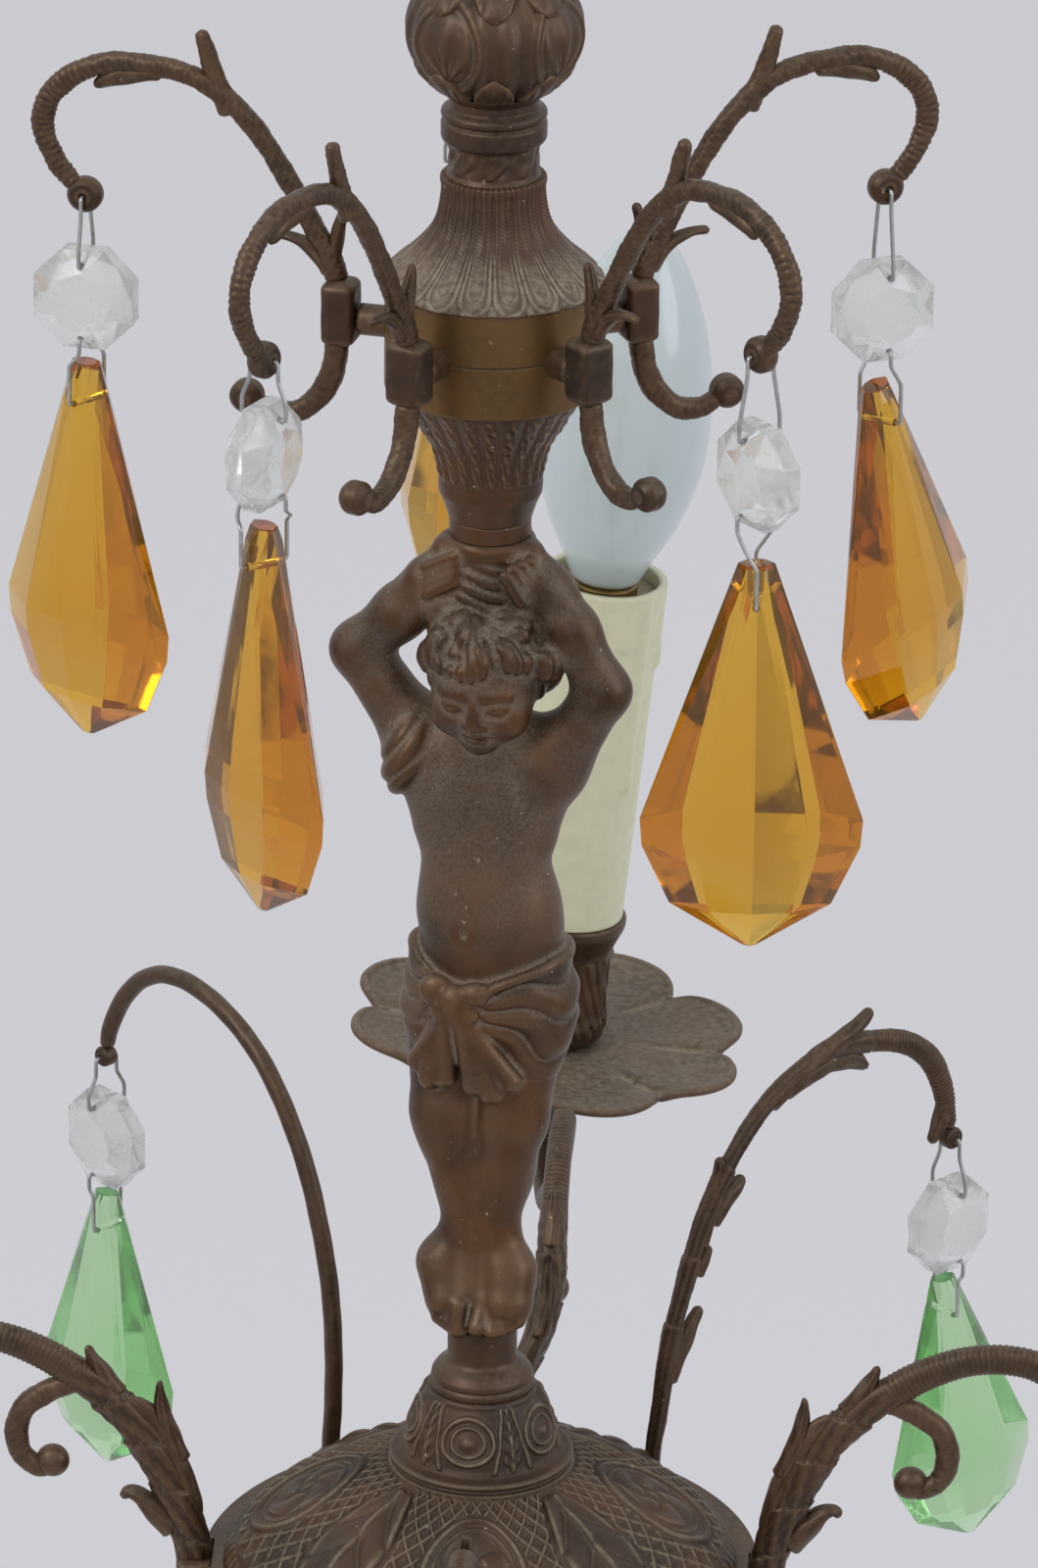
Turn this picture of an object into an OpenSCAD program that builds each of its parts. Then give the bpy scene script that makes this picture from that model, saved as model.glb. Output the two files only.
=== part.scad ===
// Small hanging chandelier: a cast figure carries a crown of five pendant
// arms and stands on a domed body with four candle arms and two prism arms.
// Millimetres, +Z up, origin at the centre of the hanging eye.

/* [Hanging loop] */
// Bore of the eye that the ceiling hook passes through
eye_bore_d = 14; // [10:1:20]
// Thickness of the ring round the eye
eye_bar = 5; // [3:0.5:7]
// Length of the eye along its bore
eye_len = 6; // [4:0.5:8]
// Diameter of the threaded foot under the eye
loop_foot_d = 16; // [15:0.5:20]
// Height of the threaded foot
loop_foot_h = 10; // [9:0.5:14]
// Diameter of the side hole where the supply cable enters
cable_hole_d = 3.8; // [2.5:0.1:4]

/* [Central pipe] */
// Outside diameter of the threaded pipe that strings the column
pipe_d = 8; // [7:0.5:9]
// Bore of the pipe, which takes the supply cable
pipe_bore_d = 5; // [3:0.5:6]
// Play left round the pipe and between seated pieces
fit_gap = 0.3; // [0.2:0.05:0.4]

/* [Ball and neck] */
// Diameter of the embossed ball
ball_d = 32.5; // [28:0.5:38]
// Height of the ball as a share of its width
ball_squash = 0.805; // [0.75:0.005:1]
// Wall of the ball shell
ball_wall = 1.4; // [1:0.1:2.5]
// Radius of the flats that the ball sits between
ball_seat_r = 8.5; // [7.5:0.25:10]
// Height of the cap between the loop's foot and the ball
cap_h = 8.8; // [4:0.2:11]
// Thickness of the leaves that lap over the ball
leaf_lap = 1.3; // [0.8:0.1:2]
// How far the leaves reach up or down the ball
leaf_reach = 6; // [3:0.5:9]
// Height of the narrow throat right under the ball
neck_throat_h = 3.4; // [2:0.2:5]
// Diameter of the ring under the throat
neck_ring_d = 19.6; // [18:0.2:22]
// Height of the ring
neck_ring_h = 6.8; // [5:0.2:9]
// Diameter of the sleeve under the ring
neck_sleeve_d = 16.4; // [14:0.2:18]
// Height of the sleeve
neck_sleeve_h = 6.7; // [5:0.1:10]

/* [Bell and drum] */
// Height of the fluted bell
bell_h = 20.8; // [16:0.5:26]
// Diameter of the bell at its neck
bell_neck_d = 18.4; // [17:0.2:22]
// Diameter of the bell at its lip
bell_lip_d = 41.6; // [38:0.5:50]
// Wall of the bell
bell_wall = 1.6; // [1:0.1:2.5]
// Number of petals round the bell
bell_petals = 18; // [10:1:24]
// Diameter of the two drum bands
drum_d = 39.8; // [38:0.2:44]
// Height of one band
band_h = 10.2; // [9:0.2:13]
// Wall of the bands
band_wall = 1.5; // [1:0.1:2.2]

/* [Crown cup and collar] */
// Height of the fluted cup under the drum
cup_h = 26; // [22:0.5:30]
// Diameter of the cup at its flared top
cup_top_d = 35; // [30:0.2:37]
// Diameter of the cup's waist above its foot ring
cup_foot_d = 19.4; // [17:0.2:21]
// Height of the plain foot under the flutes
cup_ring_h = 7.8; // [6:0.2:9]
// Number of flutes round the cup
cup_flutes = 24; // [12:2:30]
// Height of the plain collar on the figure's hands
collar_h = 3.5; // [3:0.5:6]
// Diameter of the collar
collar_d = 15.4; // [14:0.2:17]

/* [Figure] */
// Height of the figure from its feet to the cushion
figure_h = 163; // [150:1:176]
// Degrees by which the figure looks to its right
figure_turn = -18; // [-40:1:40]

/* [Plinth, shoulder and dome] */
// Diameter of the plinth's post
plinth_d = 13.4; // [12:0.2:16]
// Diameter of the plinth's foot
plinth_foot_d = 20.2; // [18:0.2:24]
// Height of the plinth
plinth_h = 12.9; // [9:0.5:18]
// Height of the embossed shoulder
shoulder_h = 16; // [12:0.5:22]
// Diameter of the shoulder's base ring
shoulder_d = 35; // [32:0.5:42]
// Height of the embossed dome
dome_h = 22.5; // [16:0.5:30]
// How far the hub's rim stands out past the dome
hub_ledge = 4; // [2:0.5:6]
// Wall of the sheet metal covers
sheet = 1.6; // [1.2:0.1:2.2]

/* [Hub, bowl and finial] */
// Diameter of the hub that carries the arms
hub_d = 108; // [106:1:116]
// Height of the hub's rim
hub_h = 9; // [8:0.5:12]
// Thickness of the hub's rim
hub_rim = 14; // [13:0.5:18]
// Thickness of the hub's web
hub_web = 3; // [2:0.2:4]
// Height of the bowl under the hub
bowl_h = 28; // [20:1:38]
// Diameter of the bowl's foot
bowl_foot_d = 22; // [18:1:30]
// Height of the bottom finial
finial_h = 34; // [24:1:44]
// Diameter of the finial's bulb
finial_d = 23; // [18:1:28]

/* [Crown arms] */
// Number of crown arms
crown_count = 5; // [3:1:5]
// Angle of the first crown arm, seen from above
crown_start = 165.6; // [160:0.1:170]
// Degrees by which each hand fitted arm stands off its even place
crown_trim = [0, 1.4, -1.6, -0.4, 0]; // within 3 degrees
// Distance from the axis to the outer face of the clamped block
block_r = 32.2; // [31:0.2:36]
// Radial depth of the block
block_depth = 6.5; // [5:0.5:8]
// Width of the block
block_w = 7.5; // [6:0.5:9]
// Height of the block
block_h = 13.2; // [10:0.2:18]
// How far the block's middle stands above the drum's seam
block_lift = 1.2; // [0:0.2:3]
// Diameter of the stub that joins a block to the drum
stub_d = 6; // [5:0.2:7]
// Diameter of the arm's disc shaped end
hook_d = 6.8; // [6:0.2:8]
// Width of that end
hook_w = 4.2; // [3.4:0.2:5]

/* [Prism arms] */
// Angles of the plain arm and of the leafy arm
prism_angle = [133, 43]; // within 5 degrees
// How far in from the dome's edge each arm passes through it
prism_root_in = [6.4, 4.2]; // within 1
// Diameter of the discs at their ends
prism_hook_d = 5.2; // [4.6:0.2:6]
// Width of those discs
prism_hook_w = 3.6; // [3:0.2:4]

/* [Candle arms] */
// Angles of the left, right, front and rear arms
lamp_angle = [178, -2, 268, 86]; // within 4 degrees
// Degrees by which each candle leans sideways
lamp_lean = [0, 0, 0, 6]; // [0:0.5:8]
// How far each arm bows to its left on the way out
lamp_bow = [0, 0, 0, 8.4]; // [0:0.2:10]
// Number of candles fitted; the front place is bare, as found
candles = [1, 1, 0, 1]; // 0 or 1 for each arm
// Distance from the axis to a candle
lamp_r = 173; // [165:1:185]
// Height of the candle seats above the middle of the hub
seat_rise = 37.5; // [34:0.5:42]
// Diameter of the seat under a drip tray
seat_d = 17; // [15:0.5:20]
// Width of the arm's foot on the hub
foot_w = 10; // [9:0.5:12]

/* [Drip trays and cups] */
// Diameter across opposite petals of a tray
tray_d = 85; // [70:1:92]
// Height a tray's rim rises over its middle
tray_rise = 2.8; // [1:0.1:7]
// Number of petals
tray_petals = 8; // [6:1:10]
// Thickness of a tray
tray_t = 1.4; // [1:0.1:2]
// Diameter of the cup that carries the candle sleeve
holder_cup_d = 24.6; // [23:0.2:28]
// Height of that cup
holder_cup_h = 28.6; // [20:0.2:34]

/* [Candles and bulbs] */
// Outside diameter of the candle sleeve
sleeve_d = 25; // [24.6:0.2:26]
// Wall of the sleeve
sleeve_wall = 1.2; // [1:0.1:1.3]
// Height of the sleeve
sleeve_h = 75; // [65:1:90]
// Outside diameter of the lampholder
holder_d = 21.6; // [20:0.2:21.8]
// Diameter of the bulb's screw cap
cap_d = 13.9; // [13.5:0.1:14]
// Play round the screw cap
cap_gap = 0.1; // [0.05:0.05:0.2]
// Length of the screw cap
cap_len = 22; // [18:1:24]
// Wall of the bulb's glass
glass_wall = 1; // [0.8:0.1:1.4]
// Diameter of the bulb
bulb_d = 35; // [32:0.5:37]
// Height of the glass above the sleeve
bulb_h = 77; // [68:1:84]

/* [Pendants] */
// Diameter of the pendant wire
wire_d = 0.8; // [0.6:0.1:1]
// Radial play of the wire in every hole
wire_gap = 0.3; // [0.2:0.05:0.4]
// Height of an octagonal bead
bead_h = 19.5; // [16:0.5:22]
// Thickness of a bead at its table
bead_t = 9; // [7:0.5:11]
// Distance from a bead's edge to its hole
bead_inset = 2.6; // [2.2:0.1:3.2]
// From each arm's end to the top of its bead
wire_drop = [10.5, 8.3, 13.2, 14.5, 11, 7.9, 9.3]; // hand bent, each 7 to 16
// From each bead to the top of its prism
prism_drop = [3.1, 3.7, 7.2, 4.7, 4, 2.1, 1.8]; // hand bent, each 1.6 to 8
// How far each prism hangs askew on its bent wire, in degrees
prism_tilt = [0, 0, 0, 13, 0, 0, 8]; // hand bent, each -15 to 15
// Length of the amber prisms
amber_h = 75; // [65:1:85]
// Width of the amber prisms
amber_w = 41; // [35:1:46]
// Thickness of the amber prisms
amber_t = 15; // [12:0.5:18]
// Length of the green prisms
green_h = 60; // [50:1:66]
// Width of the green prisms
green_w = 33; // [28:1:38]
// Thickness of the green prisms
green_t = 13; // [11:0.5:15]
// Distance from a prism's top to its hole
prism_inset = 7.5; // [6:0.5:9]
// Direction that each prism faces, seen from above
prism_face = [-130, -147, -90, -38, -140, -125, -60]; // degrees

/* [Hidden] */

$fn = 64;

// Colours
dark_bronze = "#4a3a30";
olive_brass = "#5b4528";
steel = "#b9bbb8";
ivory = "#d8d7b8";
opal = "#c5d0d2";
amber = "#c8962c";
green = "#7fb86a";
crystal = "#e4e8e8";

// Heights down the column, each from the one above
ball_r = ball_d / 2;
ball_flat = ball_squash * sqrt(ball_r * ball_r - ball_seat_r * ball_seat_r);
loop_top = -(eye_bore_d / 2 + eye_bar) + 1.5;
loop_foot_z = loop_top - loop_foot_h;
cap_z = loop_foot_z - cap_h;
ball_z = cap_z - ball_flat;
neck_z = ball_z - ball_flat;
sleeve_z = neck_z - neck_throat_h - neck_ring_h;
bell_z = sleeve_z - neck_sleeve_h;
drum_z = bell_z - bell_h;
seam_z = drum_z - band_h;
cup_z = seam_z - band_h;
collar_z = cup_z - cup_h;
figure_top_z = collar_z - collar_h;
figure_z = figure_top_z - figure_h;
plinth_z = figure_z - plinth_h;
shoulder_z = plinth_z - shoulder_h;
hub_top_z = shoulder_z - dome_h;
hub_z = hub_top_z - hub_h;
bowl_z = hub_z - bowl_h;
finial_z = bowl_z - finial_h;
hub_mid_z = (hub_top_z + hub_z) / 2;

// Pipe
bore_r = pipe_d / 2 + fit_gap;
pipe_in = 4.4;
pipe_top_z = loop_foot_z + pipe_in;
pipe_end_z = bowl_z - 14;

// Crown
stub_r = stub_d / 2;
crown_hub_r = drum_d / 2 - band_wall - fit_gap;
stub_end_r = crown_hub_r - 6;
block_z = seam_z + block_lift;
hook_r = hook_d / 2;
wire_r = wire_d / 2;
wire_hole_r = wire_r + wire_gap;

// Candle arms
dome_d = hub_d - 2 * hub_ledge;
prism_root_r = [for (inset = prism_root_in) dome_d / 2 - inset];
pad_r = hub_d / 2 - 2;
seat_z = hub_mid_z + seat_rise;
seat_h = 3;
nipple_r = 4.8;
nipple_shank_r = 4.6;
nipple_thread_h = 6;
nipple_bore_r = 3.5;
nipple_hole_r = nipple_r + fit_gap;
nipple_foot = 2.5;
cup_base_z = tray_t;
cup_lip_z = cup_base_z + holder_cup_h;
nipple_top_z = cup_lip_z + nipple_thread_h;
holder_h = sleeve_h - 3;
screw_r = 2;
screw_head_r = 3.6;
screw_head_h = 2.4;
screw_depth = 5;

function crown_angle(i) = crown_start + i * 72 + crown_trim[i];
function polar(r, a, z) = [r * cos(a), r * sin(a), z];
function mix(a, b, t) = a + (b - a) * t;
function unit(v) = v / norm(v);

// Smooth curve through the points of a route, n steps to each stretch
function bend(a, b, c, d, t) = 0.5 * (2 * b + (c - a) * t
    + (2 * a - 5 * b + 4 * c - d) * t * t + (3 * b - a - 3 * c + d) * t * t * t);
function smooth(p, n) = let (last = len(p) - 1) [
    for (i = [0 : last - 1], j = [0 : n - 1])
        let (a = i == 0 ? 2 * p[0] - p[1] : p[i - 1])
        let (d = i == last - 1 ? 2 * p[last] - p[last - 1] : p[i + 2])
        bend(a, p[i], p[i + 1], d, j / n),
    p[last]];

// Bar along a route of [radius, height, half width, half depth] in the XZ plane;
// a fifth number, where there is one, is the distance off that plane
module bar(route, n, sides) {
    p = smooth(route, n);
    last = len(p) - 1;
    rings = [for (i = [0 : last])
        let (a = p[max(i - 1, 0)], b = p[min(i + 1, last)])
        let (t = unit([b[0] - a[0], b[1] - a[1]]), off = len(p[i]) > 4 ? p[i][4] : 0)
        [for (k = [0 : sides - 1])
            let (q = (k + 0.5) * 360 / sides)
            [p[i][0] - t[1] * p[i][3] * cos(q), off + p[i][2] * sin(q),
                p[i][1] + t[0] * p[i][3] * cos(q)]]];
    tube(rings, sides);
}

// Closed skin over a list of rings
module tube(rings, sides) {
    last = len(rings) - 1;
    polyhedron(
        points = [for (ring = rings) each ring],
        faces = concat(
            [[for (k = [sides - 1 : -1 : 0]) k]],
            [for (i = [0 : last - 1], k = [0 : sides - 1])
                let (a = i * sides + k, b = i * sides + (k + 1) % sides)
                each [[a, b, b + sides], [a, b + sides, a + sides]]],
            [[for (k = [0 : sides - 1]) last * sides + k]]),
        convexity = 8);
}

// Endless skin whose last ring joins its first
module loop_tube(rings, sides) {
    count = len(rings);
    polyhedron(
        points = [for (ring = rings) each ring],
        faces = [for (i = [0 : count - 1], k = [0 : sides - 1])
            let (next = (i + 1) % count)
            let (a = i * sides + k, b = i * sides + (k + 1) % sides)
            let (c = next * sides + (k + 1) % sides, d = next * sides + k)
            each [[a, b, c], [a, c, d]]],
        convexity = 8);
}

// Solid of revolution with the bore for the pipe
module turned(outline) {
    difference() {
        rotate_extrude() polygon(outline);
        translate([0, 0, min([for (p = outline) p[1]]) - 1])
            cylinder(r = bore_r, h = max([for (p = outline) p[1]])
                - min([for (p = outline) p[1]]) + 2);
    }
}

// Slice of space between two heights
module slab(low, high, half) {
    translate([-half, -half, low]) cube([2 * half, 2 * half, high - low]);
}

// Side of the squashed ball at a given radius, from a height down to a lower one
function ball_side(r, low, high) =
    let (a = asin((high - ball_z) / (r * ball_squash)))
    let (b = asin((low - ball_z) / (r * ball_squash)))
    [for (i = [0 : 18]) let (t = mix(a, b, i / 18)) [r * cos(t), ball_z + r * ball_squash * sin(t)]];

module ball_solid(r, low, high) {
    turned(concat([[0, high]], ball_side(r, low, high), [[0, low]]));
}

// Shell of leaves that laps over the ball from one of its flats
module ball_leaves(low, high) {
    difference() {
        ball_solid(ball_r + leaf_lap + fit_gap, low, high);
        ball_solid(ball_r + fit_gap, low - 0.5, high + 0.5);
    }
}

// Loop, cap, ball and neck
module hanging_loop() color(dark_bronze) {
    ring_r = eye_bore_d / 2 + eye_bar;
    half = eye_len / 2;
    round = 1.4;
    difference() {
        union() {
            rotate([90, 0, 0]) rotate_extrude() polygon([
                [eye_bore_d / 2, -half], [ring_r - round, -half], [ring_r, -half + round],
                [ring_r, half - round], [ring_r - round, half], [eye_bore_d / 2, half]]);
            translate([0, 0, loop_foot_z]) cylinder(d = loop_foot_d, h = loop_foot_h - 2);
            translate([0, 0, loop_top - 2.01]) cylinder(d1 = loop_foot_d, d2 = eye_len, h = 3.5);
        }
        rotate([90, 0, 0]) cylinder(d = eye_bore_d, h = loop_foot_d + 2, center = true);
        translate([0, 0, loop_foot_z - 1]) cylinder(r = bore_r, h = loop_foot_h - 1);
        translate([0, 0, pipe_top_z + cable_hole_d / 2 - 0.3]) rotate([0, 90, 0])
            cylinder(d = cable_hole_d, h = loop_foot_d);
    }
}

module top_cap() color(dark_bronze) {
    foot_r = loop_foot_d / 2;
    turned([[0, loop_foot_z], [foot_r + 1.6, loop_foot_z], [foot_r + 2, loop_foot_z - 1],
        [foot_r - 0.6, loop_foot_z - 2.4], [foot_r, cap_z + 1.6], [foot_r + 1.6, cap_z],
        [0, cap_z]]);
    ball_leaves(cap_z - leaf_reach, cap_z + 0.01);
}

module ball_shell() color(dark_bronze) {
    difference() {
        ball_solid(ball_r, neck_z, cap_z);
        ball_solid(ball_r - ball_wall, neck_z + ball_wall, cap_z - ball_wall);
    }
}

module neck_collar() color(dark_bronze) {
    ring = neck_ring_d / 2;
    throat = ring - 1.4;
    body = neck_sleeve_d / 2;
    top = neck_z - neck_throat_h;
    turned([[0, neck_z], [ring + 0.4, neck_z], [throat, neck_z - 0.55 * neck_throat_h],
        [throat, top], [ring - 0.3, top - 0.7], [ring, top - 1.1], [ring, top - 1.9],
        [ring - 0.6, top - 2.3], [ring - 0.6, top - 2.6], [ring, top - 3], [ring, sleeve_z + 0.8],
        [ring - 0.4, sleeve_z + 0.2], [body, sleeve_z - 0.4], [body, bell_z + 0.8],
        [body + 0.6, bell_z], [0, bell_z]]);
    ball_leaves(neck_z - 0.01, neck_z + leaf_reach);
}

// Bell outline as shares of its height and of its flare
bell_line = [[0, 0], [0.17, 0.02], [0.39, 0.1], [0.56, 0.26], [0.72, 0.51], [0.86, 0.8],
    [0.96, 0.97], [1, 1]];
bell_neck_r = bell_neck_d / 2;
bell_lip_r = bell_lip_d / 2;
function bell_outer(p) = [mix(bell_neck_r, bell_lip_r, p[1]), bell_z - p[0] * bell_h];

module bell_cover() color(dark_bronze) {
    line = smooth(bell_line, 2);
    difference() {
        turned(concat([for (p = line) bell_outer(p)], [[0, drum_z], [0, bell_z]]));
        rotate_extrude() polygon(concat(
            [for (p = line) if (p[0] > 0.3) bell_outer(p) - [bell_wall, 0]],
            [[bell_lip_r - bell_wall, drum_z - 1], [0, drum_z - 1],
                [0, bell_outer(line[5])[1] - 0.3 * bell_h]]));
        for (i = [0 : bell_petals - 1]) rotate([0, 0, (i + 0.5) * 360 / bell_petals])
            translate([bell_lip_r + 0.5, 0, drum_z - 0.5]) cylinder(r = 1.1, h = 5, $fn = 24);
    }
}

// Holes that the five stubs pass through
module stub_holes(from_r, to_r) {
    for (i = [0 : crown_count - 1]) rotate([0, 0, crown_angle(i)])
        translate([from_r, 0, seam_z]) rotate([0, 90, 0])
            cylinder(r = stub_r + fit_gap, h = to_r - from_r);
}

module drum_band(low, high, web_low) {
    inner = drum_d / 2 - band_wall;
    difference() {
        turned([[0, low], [drum_d / 2, low], [drum_d / 2, high], [0, high]]);
        slab_low = web_low ? low + band_wall : low - 1;
        slab_high = web_low ? high + 1 : high - band_wall;
        translate([0, 0, slab_low]) cylinder(r = inner, h = slab_high - slab_low);
        stub_holes(inner - 2, drum_d / 2 + 2);
    }
}

module drum_upper() color(olive_brass) drum_band(seam_z, drum_z, false);

module drum_lower() color(olive_brass) drum_band(cup_z, seam_z, true);

module crown_hub() color(olive_brass) {
    low = cup_z + band_wall;
    high = drum_z - band_wall;
    difference() {
        turned([[0, low], [crown_hub_r, low], [crown_hub_r, high], [0, high]]);
        stub_holes(stub_end_r, crown_hub_r + 1);
    }
}

// Cup outline as shares of the height above its ring and of its flare
cup_line = [[0, 1], [0.1, 0.92], [0.24, 0.72], [0.41, 0.5], [0.58, 0.25], [0.73, 0.13],
    [0.9, 0.04], [1, 0]];
cup_foot_r = cup_foot_d / 2;
function cup_pt(p) = [mix(cup_foot_r, cup_top_d / 2, p[1]),
    cup_z - p[0] * (cup_h - cup_ring_h)];

module crown_cup() color(dark_bronze) {
    collar_r = collar_d / 2;
    ring_z = collar_z + cup_ring_h;
    low = cup_pt([0.96, 0]);
    high = cup_pt([0.58, 0.25]);
    difference() {
        turned(concat([[0, cup_z]], [for (p = smooth(cup_line, 2)) cup_pt(p)],
            [[cup_foot_r + 0.1, ring_z - 0.4], [cup_foot_r, ring_z - 0.33 * cup_ring_h],
            [mix(collar_r, cup_foot_r, 0.4), ring_z - 0.68 * cup_ring_h],
            [collar_r + 0.2, collar_z + 0.6], [collar_r + 0.1, collar_z], [0, collar_z]]));
        for (i = [0 : cup_flutes - 1]) rotate([0, 0, i * 360 / cup_flutes])
            translate([low[0] + 0.45, 0, low[1]])
                rotate([0, atan2(high[0] - low[0], high[1] - low[1]), 0])
                    cylinder(r = 0.75, h = high[1] - low[1], $fn = 16);
    }
}

module figure_collar() color(dark_bronze) {
    top_r = collar_d / 2;
    turned([[0, collar_z], [top_r, collar_z], [top_r - 0.3, figure_top_z + 1],
        [top_r, figure_top_z + 0.5], [top_r, figure_top_z], [0, figure_top_z]]);
}

// Figure, in its own frame: it looks along -Y and stands on z = 0
function side(s, p) = [s * p[0], p[1], p[2]];
module limb(a, ra, b, rb) {
    hull() {
        translate(a) sphere(r = ra);
        translate(b) sphere(r = rb);
    }
}
module egg(c, r) {
    translate(c) scale(r) sphere(r = 1);
}

module figure_body() {
    $fn = 18;
    hull() {
        egg([0, 0.5, 107], [13, 9.5, 10]);
        egg([0, -1.5, 88], [13.3, 11, 9]);
    }
    hull() {
        egg([0, -1.5, 88], [13.3, 11, 9]);
        egg([1, 1, 70], [16, 12, 11]);
    }
    hull() {
        egg([-11, 0, 117], [6, 6.5, 7]);
        egg([11, 0, 117], [6, 6.5, 7]);
    }
    limb([0, 0, 117], 7.5, [0.6, -3, 127], 6.5);
    egg([1, -4, 136.5], [10.2, 10.8, 12.4]);
    egg([1, -2.5, 140.5], [13, 11.6, 9.5]);
    egg([-14.5, -1, 115], [4.6, 7.4, 9]);
    limb([-7.6, 0.5, 64], 8.2, [-6.6, -2.5, 45], 7.2);
    limb([7.6, 0.5, 64], 8.2, [6.2, -2.5, 44], 6.9);
    limb([-6.6, -2.5, 45], 7.2, [-2.9, -1.3, 22], 4.5);
    limb([6.2, -2.5, 44], 6.9, [2.8, -1.3, 22], 4.5);
    limb([0, 0.2, 14], 5.2, [0, 0.5, 60], 5.6);
    limb([-2.9, -1.3, 21], 4.5, [-6.2, -3.6, 12], 5.4);
    limb([-6.2, -3.6, 12], 5.4, [-4, -7, 4.6], 4.2);
    limb([2.8, -1.3, 21], 4.5, [4.8, -3.6, 12], 5.3);
    limb([4.8, -3.6, 12], 5.3, [5.6, -7.4, 4.8], 4.5);
    limb([-12.8, 0, 118.5], 6.2, [-25.4, -0.8, 136.6], 5);
    limb([13, 0, 118], 6.2, [22.4, -1, 134.6], 4.9);
    limb([-25.4, -0.8, 136.6], 5, [-9, -3, 156], 4.3);
    limb([22.4, -1, 134.6], 4.9, [9, -2.6, 156], 4.5);
    limb([-14.5, -2.6, 151], 4, [-8.4, -3.6, 159.6], 2.8);
    limb([13.6, -0.6, 150], 4.4, [9.8, -1.8, 159.6], 2.8);
    limb([10.4, -4, 154], 3, [7.2, -5.2, 160], 2.2);
    egg([-1.9, -12.4, 72], [5.2, 4, 5]);
    limb([-2, -12, 69], 3, [-6.8, -9.4, 56.4], 3.2);
    limb([-2, -12, 69], 3, [4.4, -9.8, 55.8], 3.2);
    translate([0, 0, 146]) cylinder(r1 = 9.5, r2 = 8.6, h = 17, $fn = 24);
    cylinder(r = 6.4, h = 18, $fn = 24);
}

module figure() color(dark_bronze) {
    size = figure_h / 163;
    difference() {
        translate([0, 0, figure_z]) rotate([0, 0, figure_turn]) scale(size) intersection() {
            figure_body();
            slab(0, 163, 60);
        }
        translate([0, 0, figure_z - 1]) cylinder(r = bore_r, h = figure_h + 2, $fn = 32);
    }
}

module foot_plinth() color(dark_bronze) {
    post = plinth_d / 2;
    foot = plinth_foot_d / 2;
    turned([[0, figure_z], [post, figure_z], [post, figure_z - 0.45 * plinth_h],
        [mix(post, foot, 0.2), figure_z - 0.51 * plinth_h],
        [mix(post, foot, 0.8), plinth_z + 0.38 * plinth_h], [foot, plinth_z + 0.21 * plinth_h],
        [foot, plinth_z], [0, plinth_z]]);
}

module shoulder_cap() color(dark_bronze) {
    top_r = plinth_foot_d / 2 + 0.3;
    base = shoulder_d / 2;
    low = shoulder_z + 2.6;
    difference() {
        turned([[0, plinth_z], [top_r, plinth_z], [mix(top_r, base, 0.3), plinth_z - 4],
            [mix(top_r, base, 0.55), plinth_z - 8.5], [mix(top_r, base, 0.65), low],
            [base, low - 0.6], [base, shoulder_z], [0, shoulder_z]]);
        translate([0, 0, shoulder_z - 1])
            cylinder(r1 = base - 3, r2 = bore_r + 1, h = shoulder_h - 2);
    }
}

// Dome outline as shares of its height and of its spread
dome_line = [[0, 0], [0.12, 0.2], [0.33, 0.48], [0.62, 0.78], [0.84, 0.93], [1, 1]];
function dome_pt(p, back) = [mix(shoulder_d / 2, dome_d / 2, p[1]) - back,
    shoulder_z - p[0] * dome_h - (p[0] < 0.9 ? back : 0)];

module body_dome() color(dark_bronze) {
    line = smooth(dome_line, 2);
    difference() {
        turned(concat([for (p = line) dome_pt(p, 0)],
            [[dome_d / 2 - sheet, hub_top_z]],
            [for (i = [len(line) - 2 : -1 : 0]) dome_pt(line[i], sheet)],
            [[0, shoulder_z - sheet], [0, shoulder_z]]));
        for (i = [0 : 1]) rotate([0, 0, prism_angle[i]])
            translate([prism_root_r[i], 0, hub_top_z - 1])
                cylinder(r = prism_bar_r + fit_gap, h = dome_h);
    }
}

// Hub with flat pads for the four candle arms
module arm_hub() color(dark_bronze) {
    difference() {
        union() {
            difference() {
                translate([0, 0, hub_z]) cylinder(d = hub_d, h = hub_h);
                translate([0, 0, hub_z + hub_web])
                    cylinder(r = hub_d / 2 - hub_rim, h = hub_h);
            }
            translate([0, 0, hub_z]) cylinder(r = bore_r + 4, h = hub_h);
        }
        translate([0, 0, hub_z - 1]) cylinder(r = bore_r, h = hub_h + 2);
        for (a = lamp_angle) rotate([0, 0, a]) {
            translate([pad_r, -foot_w / 2 - 1, hub_z - 1]) cube([10, foot_w + 2, hub_h + 2]);
            translate([0, 0, hub_mid_z]) rotate([0, 90, 0])
                cylinder(r = screw_r + fit_gap, h = hub_d);
            translate([0, 0, hub_mid_z]) rotate([0, 90, 0])
                cylinder(r = screw_head_r + fit_gap, h = hub_d / 2 - hub_rim + 1);
        }
        for (i = [0 : 1]) rotate([0, 0, prism_angle[i]])
            translate([prism_root_r[i], 0, hub_top_z - prism_sink])
                cylinder(r = prism_bar_r + fit_gap, h = hub_h);
    }
}

// Screws that hold the candle arms, heads inside the hub's rim
module arm_screws() color(steel) {
    head_r = hub_d / 2 - hub_rim + 1;
    for (a = lamp_angle) rotate([0, 0, a]) translate([0, 0, hub_mid_z]) rotate([0, 90, 0]) {
        translate([0, 0, head_r - screw_head_h]) cylinder(r = screw_head_r, h = screw_head_h);
        translate([0, 0, head_r - 0.01]) cylinder(r = screw_r, h = pad_r - head_r + screw_depth);
    }
}

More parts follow.
